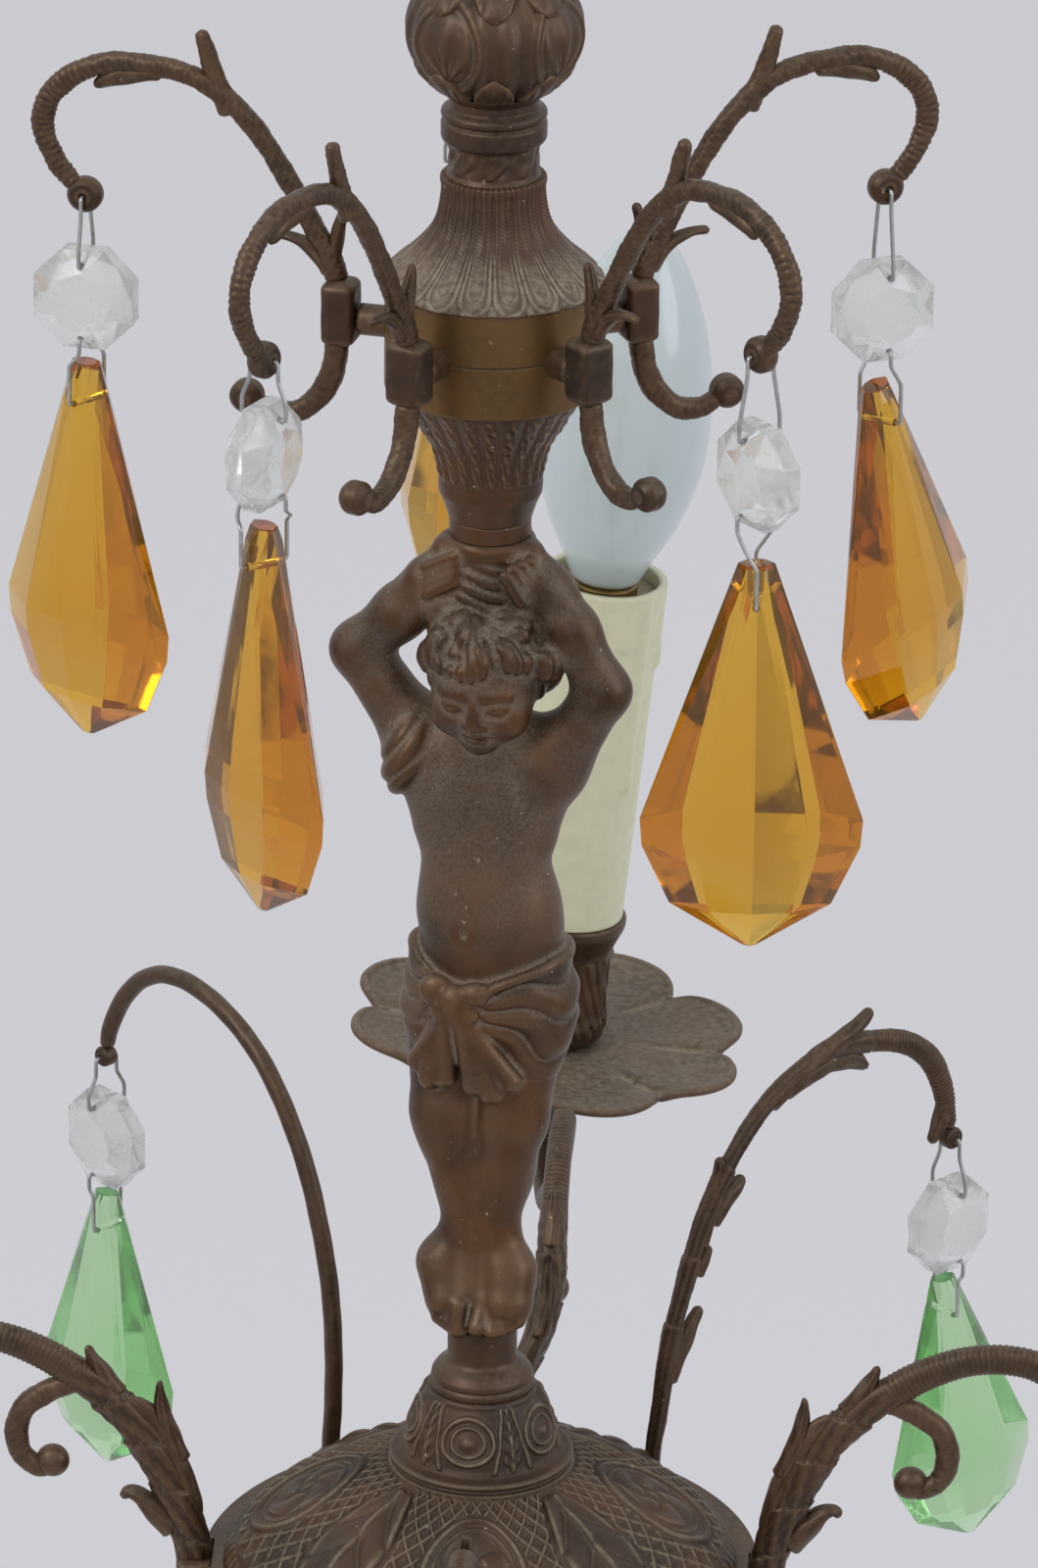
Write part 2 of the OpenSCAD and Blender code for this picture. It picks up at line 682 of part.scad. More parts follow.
module body_bowl() color(dark_bronze) {
    top_r = hub_d / 2 - 3;
    foot = bowl_foot_d / 2;
    difference() {
        turned([[0, hub_z], [top_r, hub_z], [top_r, hub_z - 2], [top_r - 4, hub_z - 4],
            [mix(foot, top_r, 0.78), hub_z - 0.36 * bowl_h],
            [mix(foot, top_r, 0.5), hub_z - 0.64 * bowl_h],
            [mix(foot, top_r, 0.18), hub_z - 0.86 * bowl_h],
            [foot, bowl_z], [0, bowl_z]]);
        rotate_extrude() polygon([[0, hub_z + 1], [top_r - 3, hub_z + 1], [top_r - 3, hub_z - 3],
            [mix(foot, top_r, 0.78) - 2, hub_z - 0.36 * bowl_h + 1],
            [mix(foot, top_r, 0.5) - 2, hub_z - 0.64 * bowl_h + 1.4],
            [foot, bowl_z + 3.6], [bore_r + 3, bowl_z + 3], [0, bowl_z + 3]]);
    }
}

module bottom_finial() color(dark_bronze) {
    foot = bowl_foot_d / 2;
    bulb = finial_d / 2;
    difference() {
        rotate_extrude() polygon([[0, bowl_z], [foot + 1, bowl_z], [foot + 1, bowl_z - 1.6],
            [foot - 3, bowl_z - 4], [foot - 4, bowl_z - 7], [bulb - 2, bowl_z - 11],
            [bulb, bowl_z - 15], [bulb - 1, bowl_z - 19], [bulb - 5, bowl_z - 0.7 * finial_h],
            [2.6, bowl_z - 0.82 * finial_h], [3.4, bowl_z - 0.9 * finial_h],
            [2.2, bowl_z - 0.97 * finial_h], [0, finial_z]]);
        translate([0, 0, pipe_end_z]) cylinder(r = bore_r, h = 20);
    }
}

module central_pipe() color(olive_brass) {
    difference() {
        translate([0, 0, pipe_end_z]) cylinder(d = pipe_d, h = pipe_top_z - pipe_end_z);
        translate([0, 0, pipe_end_z - 1])
            cylinder(d = pipe_bore_d, h = pipe_top_z - pipe_end_z + 2);
        translate([0, 0, hub_z + hub_h + 3]) rotate([0, 90, 120]) cylinder(r = 1.9, h = pipe_d);
    }
}

// Three pole block on the hub's web, where the lamp leads are joined
module terminal_block() color(ivory) {
    pole = 8;
    translate([16, 0, hub_z + hub_web]) difference() {
        union() {
            translate([0, -1.5 * pole, 0]) cube([16, 3 * pole, 5]);
            for (i = [-1 : 1]) translate([8, i * pole, 0]) cylinder(r = 3.4, h = 9);
        }
        for (i = [-1 : 1]) {
            translate([8, i * pole, 4]) cylinder(r = 1.7, h = 8);
            translate([-1, i * pole, 2.2]) rotate([0, 90, 0]) cylinder(r = 1.3, h = 18);
        }
    }
}

// Crown arm routes: radius and height from the block's top, half width, half depth
crown_route = [[-2.7, -1, 2.4, 2.4], [-1.2, 3.8, 2.4, 2.6], [2.3, 9.8, 2.2, 2.4],
    [6.8, 17.8, 2, 2.1], [12.8, 26.8, 1.9, 2], [18.8, 32.8, 1.9, 2], [24.8, 36.3, 1.8, 2],
    [32.8, 37.8, 1.7, 1.9], [40.8, 37.6, 1.7, 2], [47.8, 34.8, 1.7, 2.1],
    [52.8, 29.8, 1.7, 2.2], [54.1, 23.8, 1.7, 2.2], [51.8, 17.8, 1.7, 2.1],
    [48.8, 13.8, 1.7, 2], [46.6, 11.6, 1.7, 1.8]];
crown_hook = [46, 11.4];
scroll_route = [[-2.7, 1, 2, 2.2], [-1.7, -5.5, 2, 2.4], [0.8, -10.5, 2, 2.3],
    [4.8, -14, 2, 2.2], [9.3, -14.7, 2.1, 2], [13.5, -13.2, 2.2, 1.8]];
spike_route = [[19, 32, 1.4, 2.4], [21.5, 37.5, 1.2, 1.7], [22.8, 42, 0.8, 1],
    [23.7, 46, 0.25, 0.3]];
tuck_route = [[33, 37, 1.4, 1.6], [38.5, 34.2, 1.2, 1.7], [41.2, 31.2, 0.3, 0.3]];
sprout_route = [[-1.5, 1.5, 1.6, 1.6], [2.6, 6.6, 1.7, 1.5], [6.6, 8.6, 1.5, 1],
    [9.8, 8.2, 0.7, 0.5]];
function shift(route, r, z) = [for (p = route) [p[0] + r, p[1] + z, p[2], p[3]]];

module crown_arm(i) color(dark_bronze) {
    top = block_z + block_h / 2;
    low = block_z - block_h / 2;
    chamfer = 1.2;
    rotate([0, 0, crown_angle(i)]) difference() {
        union() {
            translate([block_r - block_depth, 0, low]) linear_extrude(block_h) polygon([
                [0, -block_w / 2], [block_depth - chamfer, -block_w / 2],
                [block_depth, -block_w / 2 + chamfer], [block_depth, block_w / 2 - chamfer],
                [block_depth - chamfer, block_w / 2], [0, block_w / 2]]);
            translate([stub_end_r, 0, seam_z]) rotate([0, 90, 0])
                cylinder(r = stub_r, h = block_r - block_depth - stub_end_r + 1);
            bar(shift(crown_route, block_r, top), 2, 8);
            bar(shift(scroll_route, block_r, low), 2, 8);
            bar(shift(spike_route, block_r, top), 1, 6);
            bar(shift(tuck_route, block_r, top), 1, 6);
            bar(shift(sprout_route, block_r, top), 1, 6);
            translate([block_r + 14.8, 0, low - 12]) rotate([90, 0, 0])
                cylinder(r = 3.2, h = 5.2, center = true, $fn = 32);
            translate([block_r + crown_hook[0], 0, top + crown_hook[1]]) rotate([90, 0, 0])
                cylinder(d = hook_d, h = hook_w, center = true, $fn = 32);
        }
        translate([block_r + crown_hook[0], 0, top + crown_hook[1]]) rotate([90, 0, 0])
            cylinder(r = wire_hole_r, h = hook_w + 2, center = true, $fn = 24);
    }
}

// Prism arms: radius from the arm's root and height from the hub's top
prism_bar_r = 2;
prism_sink = 5;
rod_route = [[0, fit_gap - prism_sink, 1.8, 1.8], [0, 8, 1.8, 1.8], [-0.6, 16, 1.8, 1.8],
    [-0.8, 29, 1.8, 1.8], [0.3, 42, 1.8, 1.8], [3.1, 54, 1.8, 1.8], [7.4, 66, 1.8, 1.8],
    [13.8, 77, 1.8, 1.8], [21.2, 85.3, 1.8, 1.8], [30.4, 91, 1.8, 1.8],
    [40.4, 93.8, 1.8, 1.8], [49.4, 93.3, 1.8, 1.8], [56.8, 89.4, 1.8, 1.8],
    [62.4, 83, 1.8, 1.8], [65.9, 76, 1.8, 1.7], [67.1, 70.5, 1.8, 1.5]];
rod_hook = [67.2, 69.6];
vine_route = [[0, fit_gap - prism_sink, 1.8, 1.8], [0, 3, 1.8, 1.8], [0.3, 9, 1.8, 1.8],
    [1.7, 16, 2, 2.1], [4.2, 30, 2, 2.2], [8.2, 42.4, 2, 2.1], [12.8, 54.4, 2, 2.1],
    [19.6, 64.8, 2, 2.1], [27.8, 73.2, 2, 2.1], [36.9, 78.3, 1.9, 2.1],
    [46.8, 80.4, 1.9, 2.2], [56.8, 79.6, 1.9, 2.3], [67, 76.5, 1.9, 2.4],
    [74.5, 70.8, 1.9, 2.5], [78.4, 63.5, 1.9, 2.4], [79.7, 56.2, 1.8, 2],
    [80.8, 52.4, 1.7, 1.6]];
vine_hook = [81.2, 51.4];
thorns = [
    [[7.3, 36, 1.3, 1.7], [11.3, 37.5, 1.2, 1.3], [14.2, 42, 0.3, 0.4]],
    [[16.8, 61.6, 1.3, 1.7], [14.8, 66.2, 1.2, 1.3], [15.4, 71.2, 0.3, 0.4]],
    [[48.8, 80.3, 1.4, 2], [53.3, 83.4, 1.1, 1.3], [56.4, 87.8, 0.25, 0.3]]];

module prism_arm(i) color(dark_bronze) {
    hook = i == 0 ? rod_hook : vine_hook;
    root = prism_root_r[i];
    rotate([0, 0, prism_angle[i]]) difference() {
        union() {
            bar(shift(i == 0 ? rod_route : vine_route, root, hub_top_z), 2, 8);
            if (i == 1) for (t = thorns) bar(shift(t, root, hub_top_z), 1, 6);
            translate([root + hook[0], 0, hub_top_z + hook[1]]) rotate([90, 0, 0])
                cylinder(d = prism_hook_d, h = prism_hook_w, center = true, $fn = 32);
        }
        translate([root + hook[0], 0, hub_top_z + hook[1]]) rotate([90, 0, 0])
            cylinder(r = wire_hole_r, h = prism_hook_w + 2, center = true, $fn = 24);
    }
}

// Candle arm: the foot is tied to the hub, the far end to the candle's seat
inner_arm = [[4, -2.5, 3, 3.3], [3.8, 2.5, 3, 3.4], [4.1, 7.5, 3, 3.5], [6.6, 15.1, 3, 3.6],
    [10, 23.1, 3, 3.6], [14.5, 31.1, 3, 3.5], [20, 37.6, 2.9, 3.4], [26, 42.4, 2.8, 3.3],
    [33, 46.8, 2.7, 3.2], [41, 49.9, 2.6, 3], [49, 50.5, 2.5, 3], [56, 48.6, 2.5, 3]];
outer_arm = [[-56, 4.6, 2.5, 3], [-46, -6.4, 2.5, 3], [-35, -18.4, 2.5, 3],
    [-23, -25.4, 2.5, 3], [-11, -22.4, 2.5, 3], [-3, -13.4, 2.6, 3], [0, -5.4, 2.8, 3],
    [0, -2, 2.8, 2.8]];
curl_route = [[23, 41.2, 2, 2.2], [27, 40.6, 2.1, 2.4], [32, 38.4, 2.1, 2.4],
    [36.5, 34.8, 2.1, 2.4], [38, 29.5, 2.1, 2.4], [36.8, 24.7, 2.1, 2.3],
    [33.5, 22.3, 2.1, 2.1], [31, 23, 2.2, 2]];
lamp_leaves = [
    [[7.5, 24, 2, 2.6], [8.2, 34, 1.7, 2.2], [9.8, 41, 0.4, 0.5]],
    [[21, 42, 1.5, 2], [21.5, 45.6, 1.2, 1.3], [23.4, 49.4, 0.3, 0.4]],
    [[6, 11, 1.8, 2.4], [12.5, 12.6, 1.6, 1.8], [17.4, 16.4, 0.4, 0.5]]];

// Share of the bow at a point: none at the hub, all from the arm's shoulder on, none at the seat
function ease(t) = let (s = max(0, min(1, t))) s * s * (3 - 2 * s);
function bow_share(r, z) = ease(max((z - 5) / 26, (r - 12) / 8))
    * ease((lamp_r - pad_r - r) / 70);
function bowed(route, i) = [for (p = route)
    concat(p, -lamp_bow[i] * bow_share(p[0] - pad_r, p[1] - hub_mid_z))];

module lamp_arm(i) color(dark_bronze) {
    route = concat(shift(inner_arm, pad_r, hub_mid_z), shift(outer_arm, lamp_r, seat_z));
    difference() {
        union() {
            rotate([0, 0, lamp_angle[i]]) {
                bar(bowed(route, i), 2, 8);
                bar(bowed(shift(curl_route, pad_r, hub_mid_z), i), 2, 8);
                for (leaf = lamp_leaves) bar(bowed(shift(leaf, pad_r, hub_mid_z), i), 1, 6);
                translate([pad_r + 31, -lamp_bow[i], hub_mid_z + 23.7]) rotate([90, 0, 0])
                    cylinder(r = 2.9, h = 5, center = true, $fn = 32);
                translate([pad_r, -foot_w / 2, hub_z]) cube([6.5, foot_w, hub_h]);
            }
            at_seat(i) translate([0, 0, -seat_h]) cylinder(d = seat_d, h = seat_h);
        }
        rotate([0, 0, lamp_angle[i]]) translate([pad_r - 1, 0, hub_mid_z]) rotate([0, 90, 0])
            cylinder(r = screw_r + fit_gap, h = 1 + screw_depth);
        at_seat(i) translate([0, 0, -nipple_foot]) cylinder(r = nipple_hole_r, h = nipple_foot + 1);
    }
}

// Frame at the top of a candle arm's seat, leaning with its candle
module at_seat(i) {
    rotate([0, 0, lamp_angle[i]]) translate([lamp_r, 0, seat_z]) rotate([lamp_lean[i], 0, 0])
        children();
}

// Nipples: the shank is thinner than the thread that stands out of the cup
module lamp_nipples() color(olive_brass) {
    for (i = [0 : 3]) at_seat(i) difference() {
        union() {
            translate([0, 0, -nipple_foot])
                cylinder(r = nipple_shank_r, h = nipple_foot + cup_lip_z + 0.01);
            translate([0, 0, cup_lip_z]) cylinder(r = nipple_r, h = nipple_thread_h);
        }
        translate([0, 0, -nipple_foot - 1])
            cylinder(r = nipple_bore_r, h = nipple_foot + nipple_top_z + 2);
    }
}

// Petalled tray, dished towards its middle
module drip_tray() {
    petal_r = tray_d * 0.165;
    rim_r = tray_d / 2;
    low = 0.2 * tray_rise;
    mid = 0.53 * tray_rise;
    difference() {
        intersection() {
            rotate_extrude() polygon([[0, 0], [12, 0], [0.62 * rim_r, low], [0.86 * rim_r, mid],
                [rim_r + 1, tray_rise], [rim_r + 1, tray_rise + tray_t], [0.86 * rim_r, mid + tray_t],
                [0.62 * rim_r, low + tray_t], [12, tray_t], [0, tray_t]]);
            linear_extrude(12) union() {
                circle(r = rim_r - 0.9 * petal_r);
                for (k = [0 : tray_petals - 1]) rotate([0, 0, (k + 0.5) * 360 / tray_petals])
                    translate([rim_r - petal_r, 0]) circle(r = petal_r);
            }
        }
        translate([0, 0, -1]) cylinder(r = nipple_hole_r, h = 4);
    }
}

module drip_trays() color(dark_bronze) {
    for (i = [0 : 3]) at_seat(i) drip_tray();
}

module holder_cup() {
    r = holder_cup_d / 2;
    lip = sleeve_d / 2 + 0.9;
    wall = 1.2;
    difference() {
        translate([0, 0, cup_base_z]) rotate_extrude() polygon([[0, 0], [r - 3, 0], [r - 0.8, 1.6],
            [r - 0.4, 5], [r - 0.8, holder_cup_h - 6], [r, holder_cup_h - 4],
            [lip, holder_cup_h - 1.6], [lip, holder_cup_h], [0, holder_cup_h]]);
        translate([0, 0, cup_base_z + wall])
            cylinder(r = r - 0.8 - wall, h = holder_cup_h - 2 * wall);
        cylinder(r = nipple_hole_r, h = cup_lip_z + 1);
    }
}

module holder_cups() color(dark_bronze) {
    for (i = [0 : 3]) at_seat(i) holder_cup();
}

module lampholders() color("#2b2a28") {
    for (i = [0 : 3]) if (candles[i] == 1) at_seat(i) translate([0, 0, cup_lip_z]) difference() {
        cylinder(d = holder_d, h = holder_h);
        translate([0, 0, -1]) cylinder(r = nipple_hole_r, h = nipple_top_z - cup_lip_z + 1);
        translate([0, 0, holder_h - cap_len - fit_gap])
            cylinder(r = cap_d / 2 + cap_gap, h = cap_len + 5);
        translate([0, 0, nipple_top_z - cup_lip_z - 1])
            cylinder(d = holder_d - 4, h = holder_h - cap_len - 8);
    }
}

module candle_sleeves() color(ivory) {
    for (i = [0 : 3]) if (candles[i] == 1) at_seat(i) translate([0, 0, cup_lip_z]) difference() {
        cylinder(d = sleeve_d, h = sleeve_h);
        translate([0, 0, -1]) cylinder(d = sleeve_d - 2 * sleeve_wall, h = sleeve_h + 2);
    }
}

// Candle bulb: half widths as shares of the bulb's, heights as shares of the glass
bulb_line = [[0.42, 0], [0.52, 0.05], [0.78, 0.17], [0.95, 0.3], [1, 0.42], [0.97, 0.54],
    [0.86, 0.68], [0.64, 0.82], [0.4, 0.92], [0.18, 0.98], [0, 1]];

module bulb(i) color(opal) {
    cap_r = cap_d / 2;
    base = cup_lip_z + holder_h;
    line = [for (p = smooth(bulb_line, 2))
        [max(p[0] * bulb_d / 2, 0), sleeve_h - holder_h + 0.4 + p[1] * bulb_h]];
    at_seat(i) translate([0, 0, base]) difference() {
        rotate_extrude() polygon(concat([[0, -cap_len], [3, -cap_len], [cap_r, -cap_len + 4],
            [cap_r, 2.4]], line));
        rotate_extrude() polygon(concat([[0, -cap_len + 5], [cap_r - 1, -cap_len + 5],
            [cap_r - 1, 2.4]], [for (p = line) if (p[0] > 3) p - [glass_wall, 0]],
            [[0, line[len(line) - 1][1] - 2 * glass_wall]]));
    }
}

// Pendants 1 to 5 hang from the crown, 6 and 7 from the prism arms
function arm_of(i) = i < 5 ? crown_angle(i) : prism_angle[i - 5];
function hang_r(i) = i < 5 ? block_r + crown_hook[0]
    : prism_root_r[i - 5] + (i == 5 ? rod_hook[0] : vine_hook[0]);
function hang_z(i) = i < 5 ? block_z + block_h / 2 + crown_hook[1]
    : hub_top_z + (i == 5 ? rod_hook[1] : vine_hook[1]);
function disc_w(i) = i < 5 ? hook_w : prism_hook_w;
function bead_top(i) = hang_z(i) - wire_drop[i];
function bead_mid(i) = bead_top(i) - bead_h / 2;
function prism_top(i) = bead_top(i) - bead_h - prism_drop[i];
function prism_pin(i) = prism_top(i) - prism_inset;
function drop_h(i) = i < 5 ? amber_h : green_h;
function drop_w(i) = i < 5 ? amber_w : green_w;
function drop_t(i) = i < 5 ? amber_t : green_t;

bead_edge_t = 3.4;
wire_sides = 6;
function bead_t_at(inset) = mix(bead_edge_t, bead_t, min(1, inset / (bead_h * 0.24)));

// Ring of wire round point p of a loop whose plane holds direction q and Z
function wire_ring(p, before, after, q) =
    let (side_way = [-sin(q), cos(q), 0])
    let (t = unit(after - before))
    let (n = unit(cross(t, side_way)))
    [for (k = [0 : wire_sides - 1])
        p + wire_r * (cos(k * 360 / wire_sides) * side_way + sin(k * 360 / wire_sides) * n)];

// Loop of wire: stations of [half width, height, direction] down one leg and up the other
module wire_loop(centre, stations) {
    count = len(stations);
    path = concat(
        [for (s = stations) [centre[0] + s[0] * cos(s[2]), centre[1] + s[0] * sin(s[2]), s[1]]],
        [for (k = [count - 1 : -1 : 0]) let (s = stations[k])
            [centre[0] - s[0] * cos(s[2]), centre[1] - s[0] * sin(s[2]), s[1]]]);
    turns = concat([for (s = stations) s[2]], [for (k = [count - 1 : -1 : 0]) stations[k][2]]);
    total = len(path);
    loop_tube([for (k = [0 : total - 1])
        wire_ring(path[k], path[(k + total - 1) % total], path[(k + 1) % total], turns[k])],
        wire_sides);
}

module wires(i) color(steel) {
    centre = [hang_r(i) * cos(arm_of(i)), hang_r(i) * sin(arm_of(i)), 0];
    q = arm_of(i) + 90;
    face = turn_near(prism_face[i], q);
    hook_half = disc_w(i) / 2 + wire_r + 0.5;
    bead_half = bead_t_at(bead_inset + 1) / 2 + wire_r + 0.4;
    drop_half = prism_t_at(i, prism_inset) / 2 + wire_r + 0.6;
    top_pin = bead_top(i) - bead_inset;
    low_pin = bead_top(i) - bead_h + bead_inset;
    cut = 0.8;
    wire_loop(centre, [[hook_half - cut, hang_z(i), q], [hook_half, hang_z(i) - cut, q],
        [hook_half, hang_z(i) - hook_r - 0.6, q], [bead_half, bead_top(i) + 0.6, q],
        [bead_half, top_pin + cut, q], [bead_half - cut, top_pin, q]]);
    wire_loop(centre, [[bead_half - cut, low_pin, q], [bead_half, low_pin - cut, q],
        [bead_half, low_pin - bead_inset - 0.3, q],
        [mix(bead_half, drop_half, 0.5), prism_top(i) + prism_drop[i] / 2, mix(q, face, 0.5)],
        [drop_half, prism_top(i) + 0.3, face], [drop_half, prism_pin(i) + cut, face],
        [drop_half - cut, prism_pin(i), face]]);
}

// The same line of a face direction, turned by half turns to lie within 90 degrees of q
function turn_near(face, q) = face - 180 * round((face - q) / 180);

// Octagonal bead, cut towards its rim
module bead(i) color(crystal) {
    q = arm_of(i);
    hole = wire_hole_r;
    rim = bead_h / 2 / cos(22.5);
    translate([hang_r(i) * cos(q), hang_r(i) * sin(q), bead_mid(i)]) rotate([0, 0, q])
        rotate([90, 0, 0]) difference() {
            hull() {
                rotate([0, 0, 22.5]) cylinder(r = rim, h = bead_edge_t, center = true, $fn = 8);
                rotate([0, 0, 0]) cylinder(r = rim * 0.56, h = bead_t, center = true, $fn = 8);
            }
            for (s = [-1, 1]) translate([0, s * (bead_h / 2 - bead_inset), 0])
                cylinder(r = hole, h = bead_t + 2, center = true, $fn = 24);
        }
}

// Prism girths: depth below the top, half width and half thickness, as shares
drop_line = [[0, 0.17, 0.3], [0.035, 0.2, 0.42], [0.67, 1, 1], [0.74, 0.98, 0.95],
    [0.89, 0.73, 0.7], [1, 0.07, 0.12]];
function prism_t_at(i, depth) = drop_t(i) * mix(0.42, 1, depth / drop_h(i) / 0.67);

module prism(i) color(i < 5 ? amber : green) {
    q = arm_of(i);
    w = drop_w(i) / 2;
    t = drop_t(i) / 2;
    pts = [for (s = drop_line) each [
        [s[1] * w, 0, -s[0] * drop_h(i)], [-s[1] * w, 0, -s[0] * drop_h(i)],
        for (a = [-1, 1], b = [-1, 1]) [a * s[1] * w * 0.46, b * s[2] * t, -s[0] * drop_h(i)]]];
    translate([hang_r(i) * cos(q), hang_r(i) * sin(q), prism_pin(i)])
        rotate([0, 0, prism_face[i] + 90]) rotate([0, -prism_tilt[i], 0])
        translate([0, 0, prism_inset]) difference() {
            hull() polyhedron(points = pts,
                faces = [for (k = [0 : 3 : len(pts) - 3]) [k, k + 1, k + 2]]);
            translate([0, 0, -prism_inset]) rotate([90, 0, 0])
                cylinder(r = wire_hole_r, h = drop_t(i) + 2, center = true, $fn = 24);
        }
}

hanging_loop();
top_cap();
ball_shell();
neck_collar();
bell_cover();
drum_upper();
drum_lower();
crown_hub();
crown_cup();
figure_collar();
figure();
foot_plinth();
shoulder_cap();
body_dome();
arm_hub();
body_bowl();
bottom_finial();
central_pipe();
terminal_block();
arm_screws();
crown_arm(0);  // crown_arm_1
crown_arm(1);  // crown_arm_2
crown_arm(2);  // crown_arm_3
crown_arm(3);  // crown_arm_4
crown_arm(4);  // crown_arm_5
prism_arm(0);  // prism_arm_left
prism_arm(1);  // prism_arm_right
lamp_arm(0);  // lamp_arm_left
lamp_arm(1);  // lamp_arm_right
lamp_arm(2);  // lamp_arm_front
lamp_arm(3);  // lamp_arm_rear
lamp_nipples();
drip_trays();
holder_cups();
lampholders();
candle_sleeves();
bulb(0);  // bulb_left
bulb(1);  // bulb_right
bulb(3);  // bulb_rear
wires(0);  // wires_1
bead(0);  // bead_1
prism(0);  // prism_1
wires(1);  // wires_2
bead(1);  // bead_2
prism(1);  // prism_2
wires(2);  // wires_3
bead(2);  // bead_3
prism(2);  // prism_3
wires(3);  // wires_4
bead(3);  // bead_4
prism(3);  // prism_4
wires(4);  // wires_5
bead(4);  // bead_5
prism(4);  // prism_5
wires(5);  // wires_6
bead(5);  // bead_6
prism(5);  // prism_6
wires(6);  // wires_7
bead(6);  // bead_7
prism(6);  // prism_7
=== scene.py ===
import math

import bmesh
import bpy
import numpy as np
from mathutils import Euler, Matrix, Vector


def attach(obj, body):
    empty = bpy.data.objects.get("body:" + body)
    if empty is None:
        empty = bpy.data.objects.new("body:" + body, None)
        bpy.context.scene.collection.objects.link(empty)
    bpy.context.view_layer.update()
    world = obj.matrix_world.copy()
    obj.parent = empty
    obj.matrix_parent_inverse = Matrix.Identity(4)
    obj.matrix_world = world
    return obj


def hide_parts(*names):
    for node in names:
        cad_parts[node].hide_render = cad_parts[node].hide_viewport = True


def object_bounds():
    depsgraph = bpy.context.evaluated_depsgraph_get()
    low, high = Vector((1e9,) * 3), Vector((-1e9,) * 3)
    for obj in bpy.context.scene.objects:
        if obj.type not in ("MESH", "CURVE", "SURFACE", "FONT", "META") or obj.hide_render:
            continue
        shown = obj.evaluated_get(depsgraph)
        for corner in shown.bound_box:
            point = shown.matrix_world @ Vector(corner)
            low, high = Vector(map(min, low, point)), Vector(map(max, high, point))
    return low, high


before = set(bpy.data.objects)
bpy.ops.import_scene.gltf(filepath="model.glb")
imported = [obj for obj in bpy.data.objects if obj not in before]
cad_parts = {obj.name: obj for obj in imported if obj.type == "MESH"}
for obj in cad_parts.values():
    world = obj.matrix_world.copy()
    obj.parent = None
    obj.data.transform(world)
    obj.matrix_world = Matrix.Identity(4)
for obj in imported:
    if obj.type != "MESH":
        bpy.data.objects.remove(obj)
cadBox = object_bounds()
print("frame loaded")

mm = 0.001
tau = 2 * math.pi


# Small helpers

def linear(text):
    # sRGB hex to linear red, green, blue
    parts = [int(text[k:k + 2], 16) / 255 for k in (1, 3, 5)]
    return [p / 12.92 if p <= 0.04045 else ((p + 0.055) / 1.055) ** 2.4 for p in parts]


def unit(v):
    return v / np.maximum(np.linalg.norm(v, axis=-1, keepdims=True), 1e-9)


def ease(x, low, high):
    # 0 below low, 1 above high, a smooth S between them
    t = np.clip((x - low) / (high - low), 0, 1)
    return t * t * (3 - 2 * t)


def ridge(x, centre, width):
    # a smooth bump that is 1 at centre and falls away over width
    return np.exp(-((x - centre) / width) ** 2)


def wrap(angle):
    # the angle brought within half a turn of 0
    return (angle + math.pi) % tau - math.pi


def mix(a, b, t):
    return a + (b - a) * t


def smoothRoute(points, step):
    # spline through the points, each stretch a cubic set by its neighbours, resampled at equal steps of length
    p = np.asarray(points, float)
    q = np.vstack([2 * p[0] - p[1], p, 2 * p[-1] - p[-2]])
    t = np.linspace(0, 1, 24, endpoint=False)[None, :, None]
    a, b, c, d = (q[k:len(p) - 1 + k][:, None, :] for k in range(4))
    line = 0.5 * (2 * b + (c - a) * t + (2 * a - 5 * b + 4 * c - d) * t * t + (3 * b - a - 3 * c + d) * t ** 3)
    line = np.vstack([line.reshape(-1, p.shape[1]), p[-1:]])
    run = np.concatenate([[0], np.cumsum(np.linalg.norm(np.diff(line[:, :2], axis=0), axis=1))])
    s = np.linspace(0, run[-1], max(4, int(run[-1] / step)))
    return s, np.stack([np.interp(s, run, line[:, k]) for k in range(p.shape[1])], 1)


def outline(points, fillet=0.5, step=0.5):
    # straight lines through the points with each corner rounded by a short curve, resampled at equal steps
    p = np.asarray(points, float)
    out = [p[0]]
    for k in range(1, len(p) - 1):
        back, ahead = p[k - 1] - p[k], p[k + 1] - p[k]
        cut = min(fillet, np.linalg.norm(back) * 0.45, np.linalg.norm(ahead) * 0.45)
        a, b = p[k] + unit(back) * cut, p[k] + unit(ahead) * cut
        out += [(1 - t) ** 2 * a + 2 * t * (1 - t) * p[k] + t * t * b for t in (0, 0.25, 0.5, 0.75, 1)]
    out.append(p[-1])
    line = np.array(out)
    run = np.concatenate([[0], np.cumsum(np.linalg.norm(np.diff(line, axis=0), axis=1))])
    s = np.unique(np.round(np.concatenate([np.linspace(0, run[-1], max(3, int(run[-1] / step))), run]), 3))
    return np.stack([np.interp(s, run, line[:, k]) for k in range(2)], 1)


# Mesh making: a part is (points, quads, triangles), in millimetres

def facing(points, quads, tris):
    # turns every face round if the closed shape holds a negative volume
    t = np.vstack([quads[:, [0, 1, 2]], quads[:, [0, 2, 3]], tris])
    a, b, c = points[t[:, 0]], points[t[:, 1]], points[t[:, 2]]
    if np.einsum("ij,ij->i", a, np.cross(b, c)).sum() < 0:
        quads = quads[:, ::-1]
        tris = tris[:, ::-1]
    return points, quads, tris


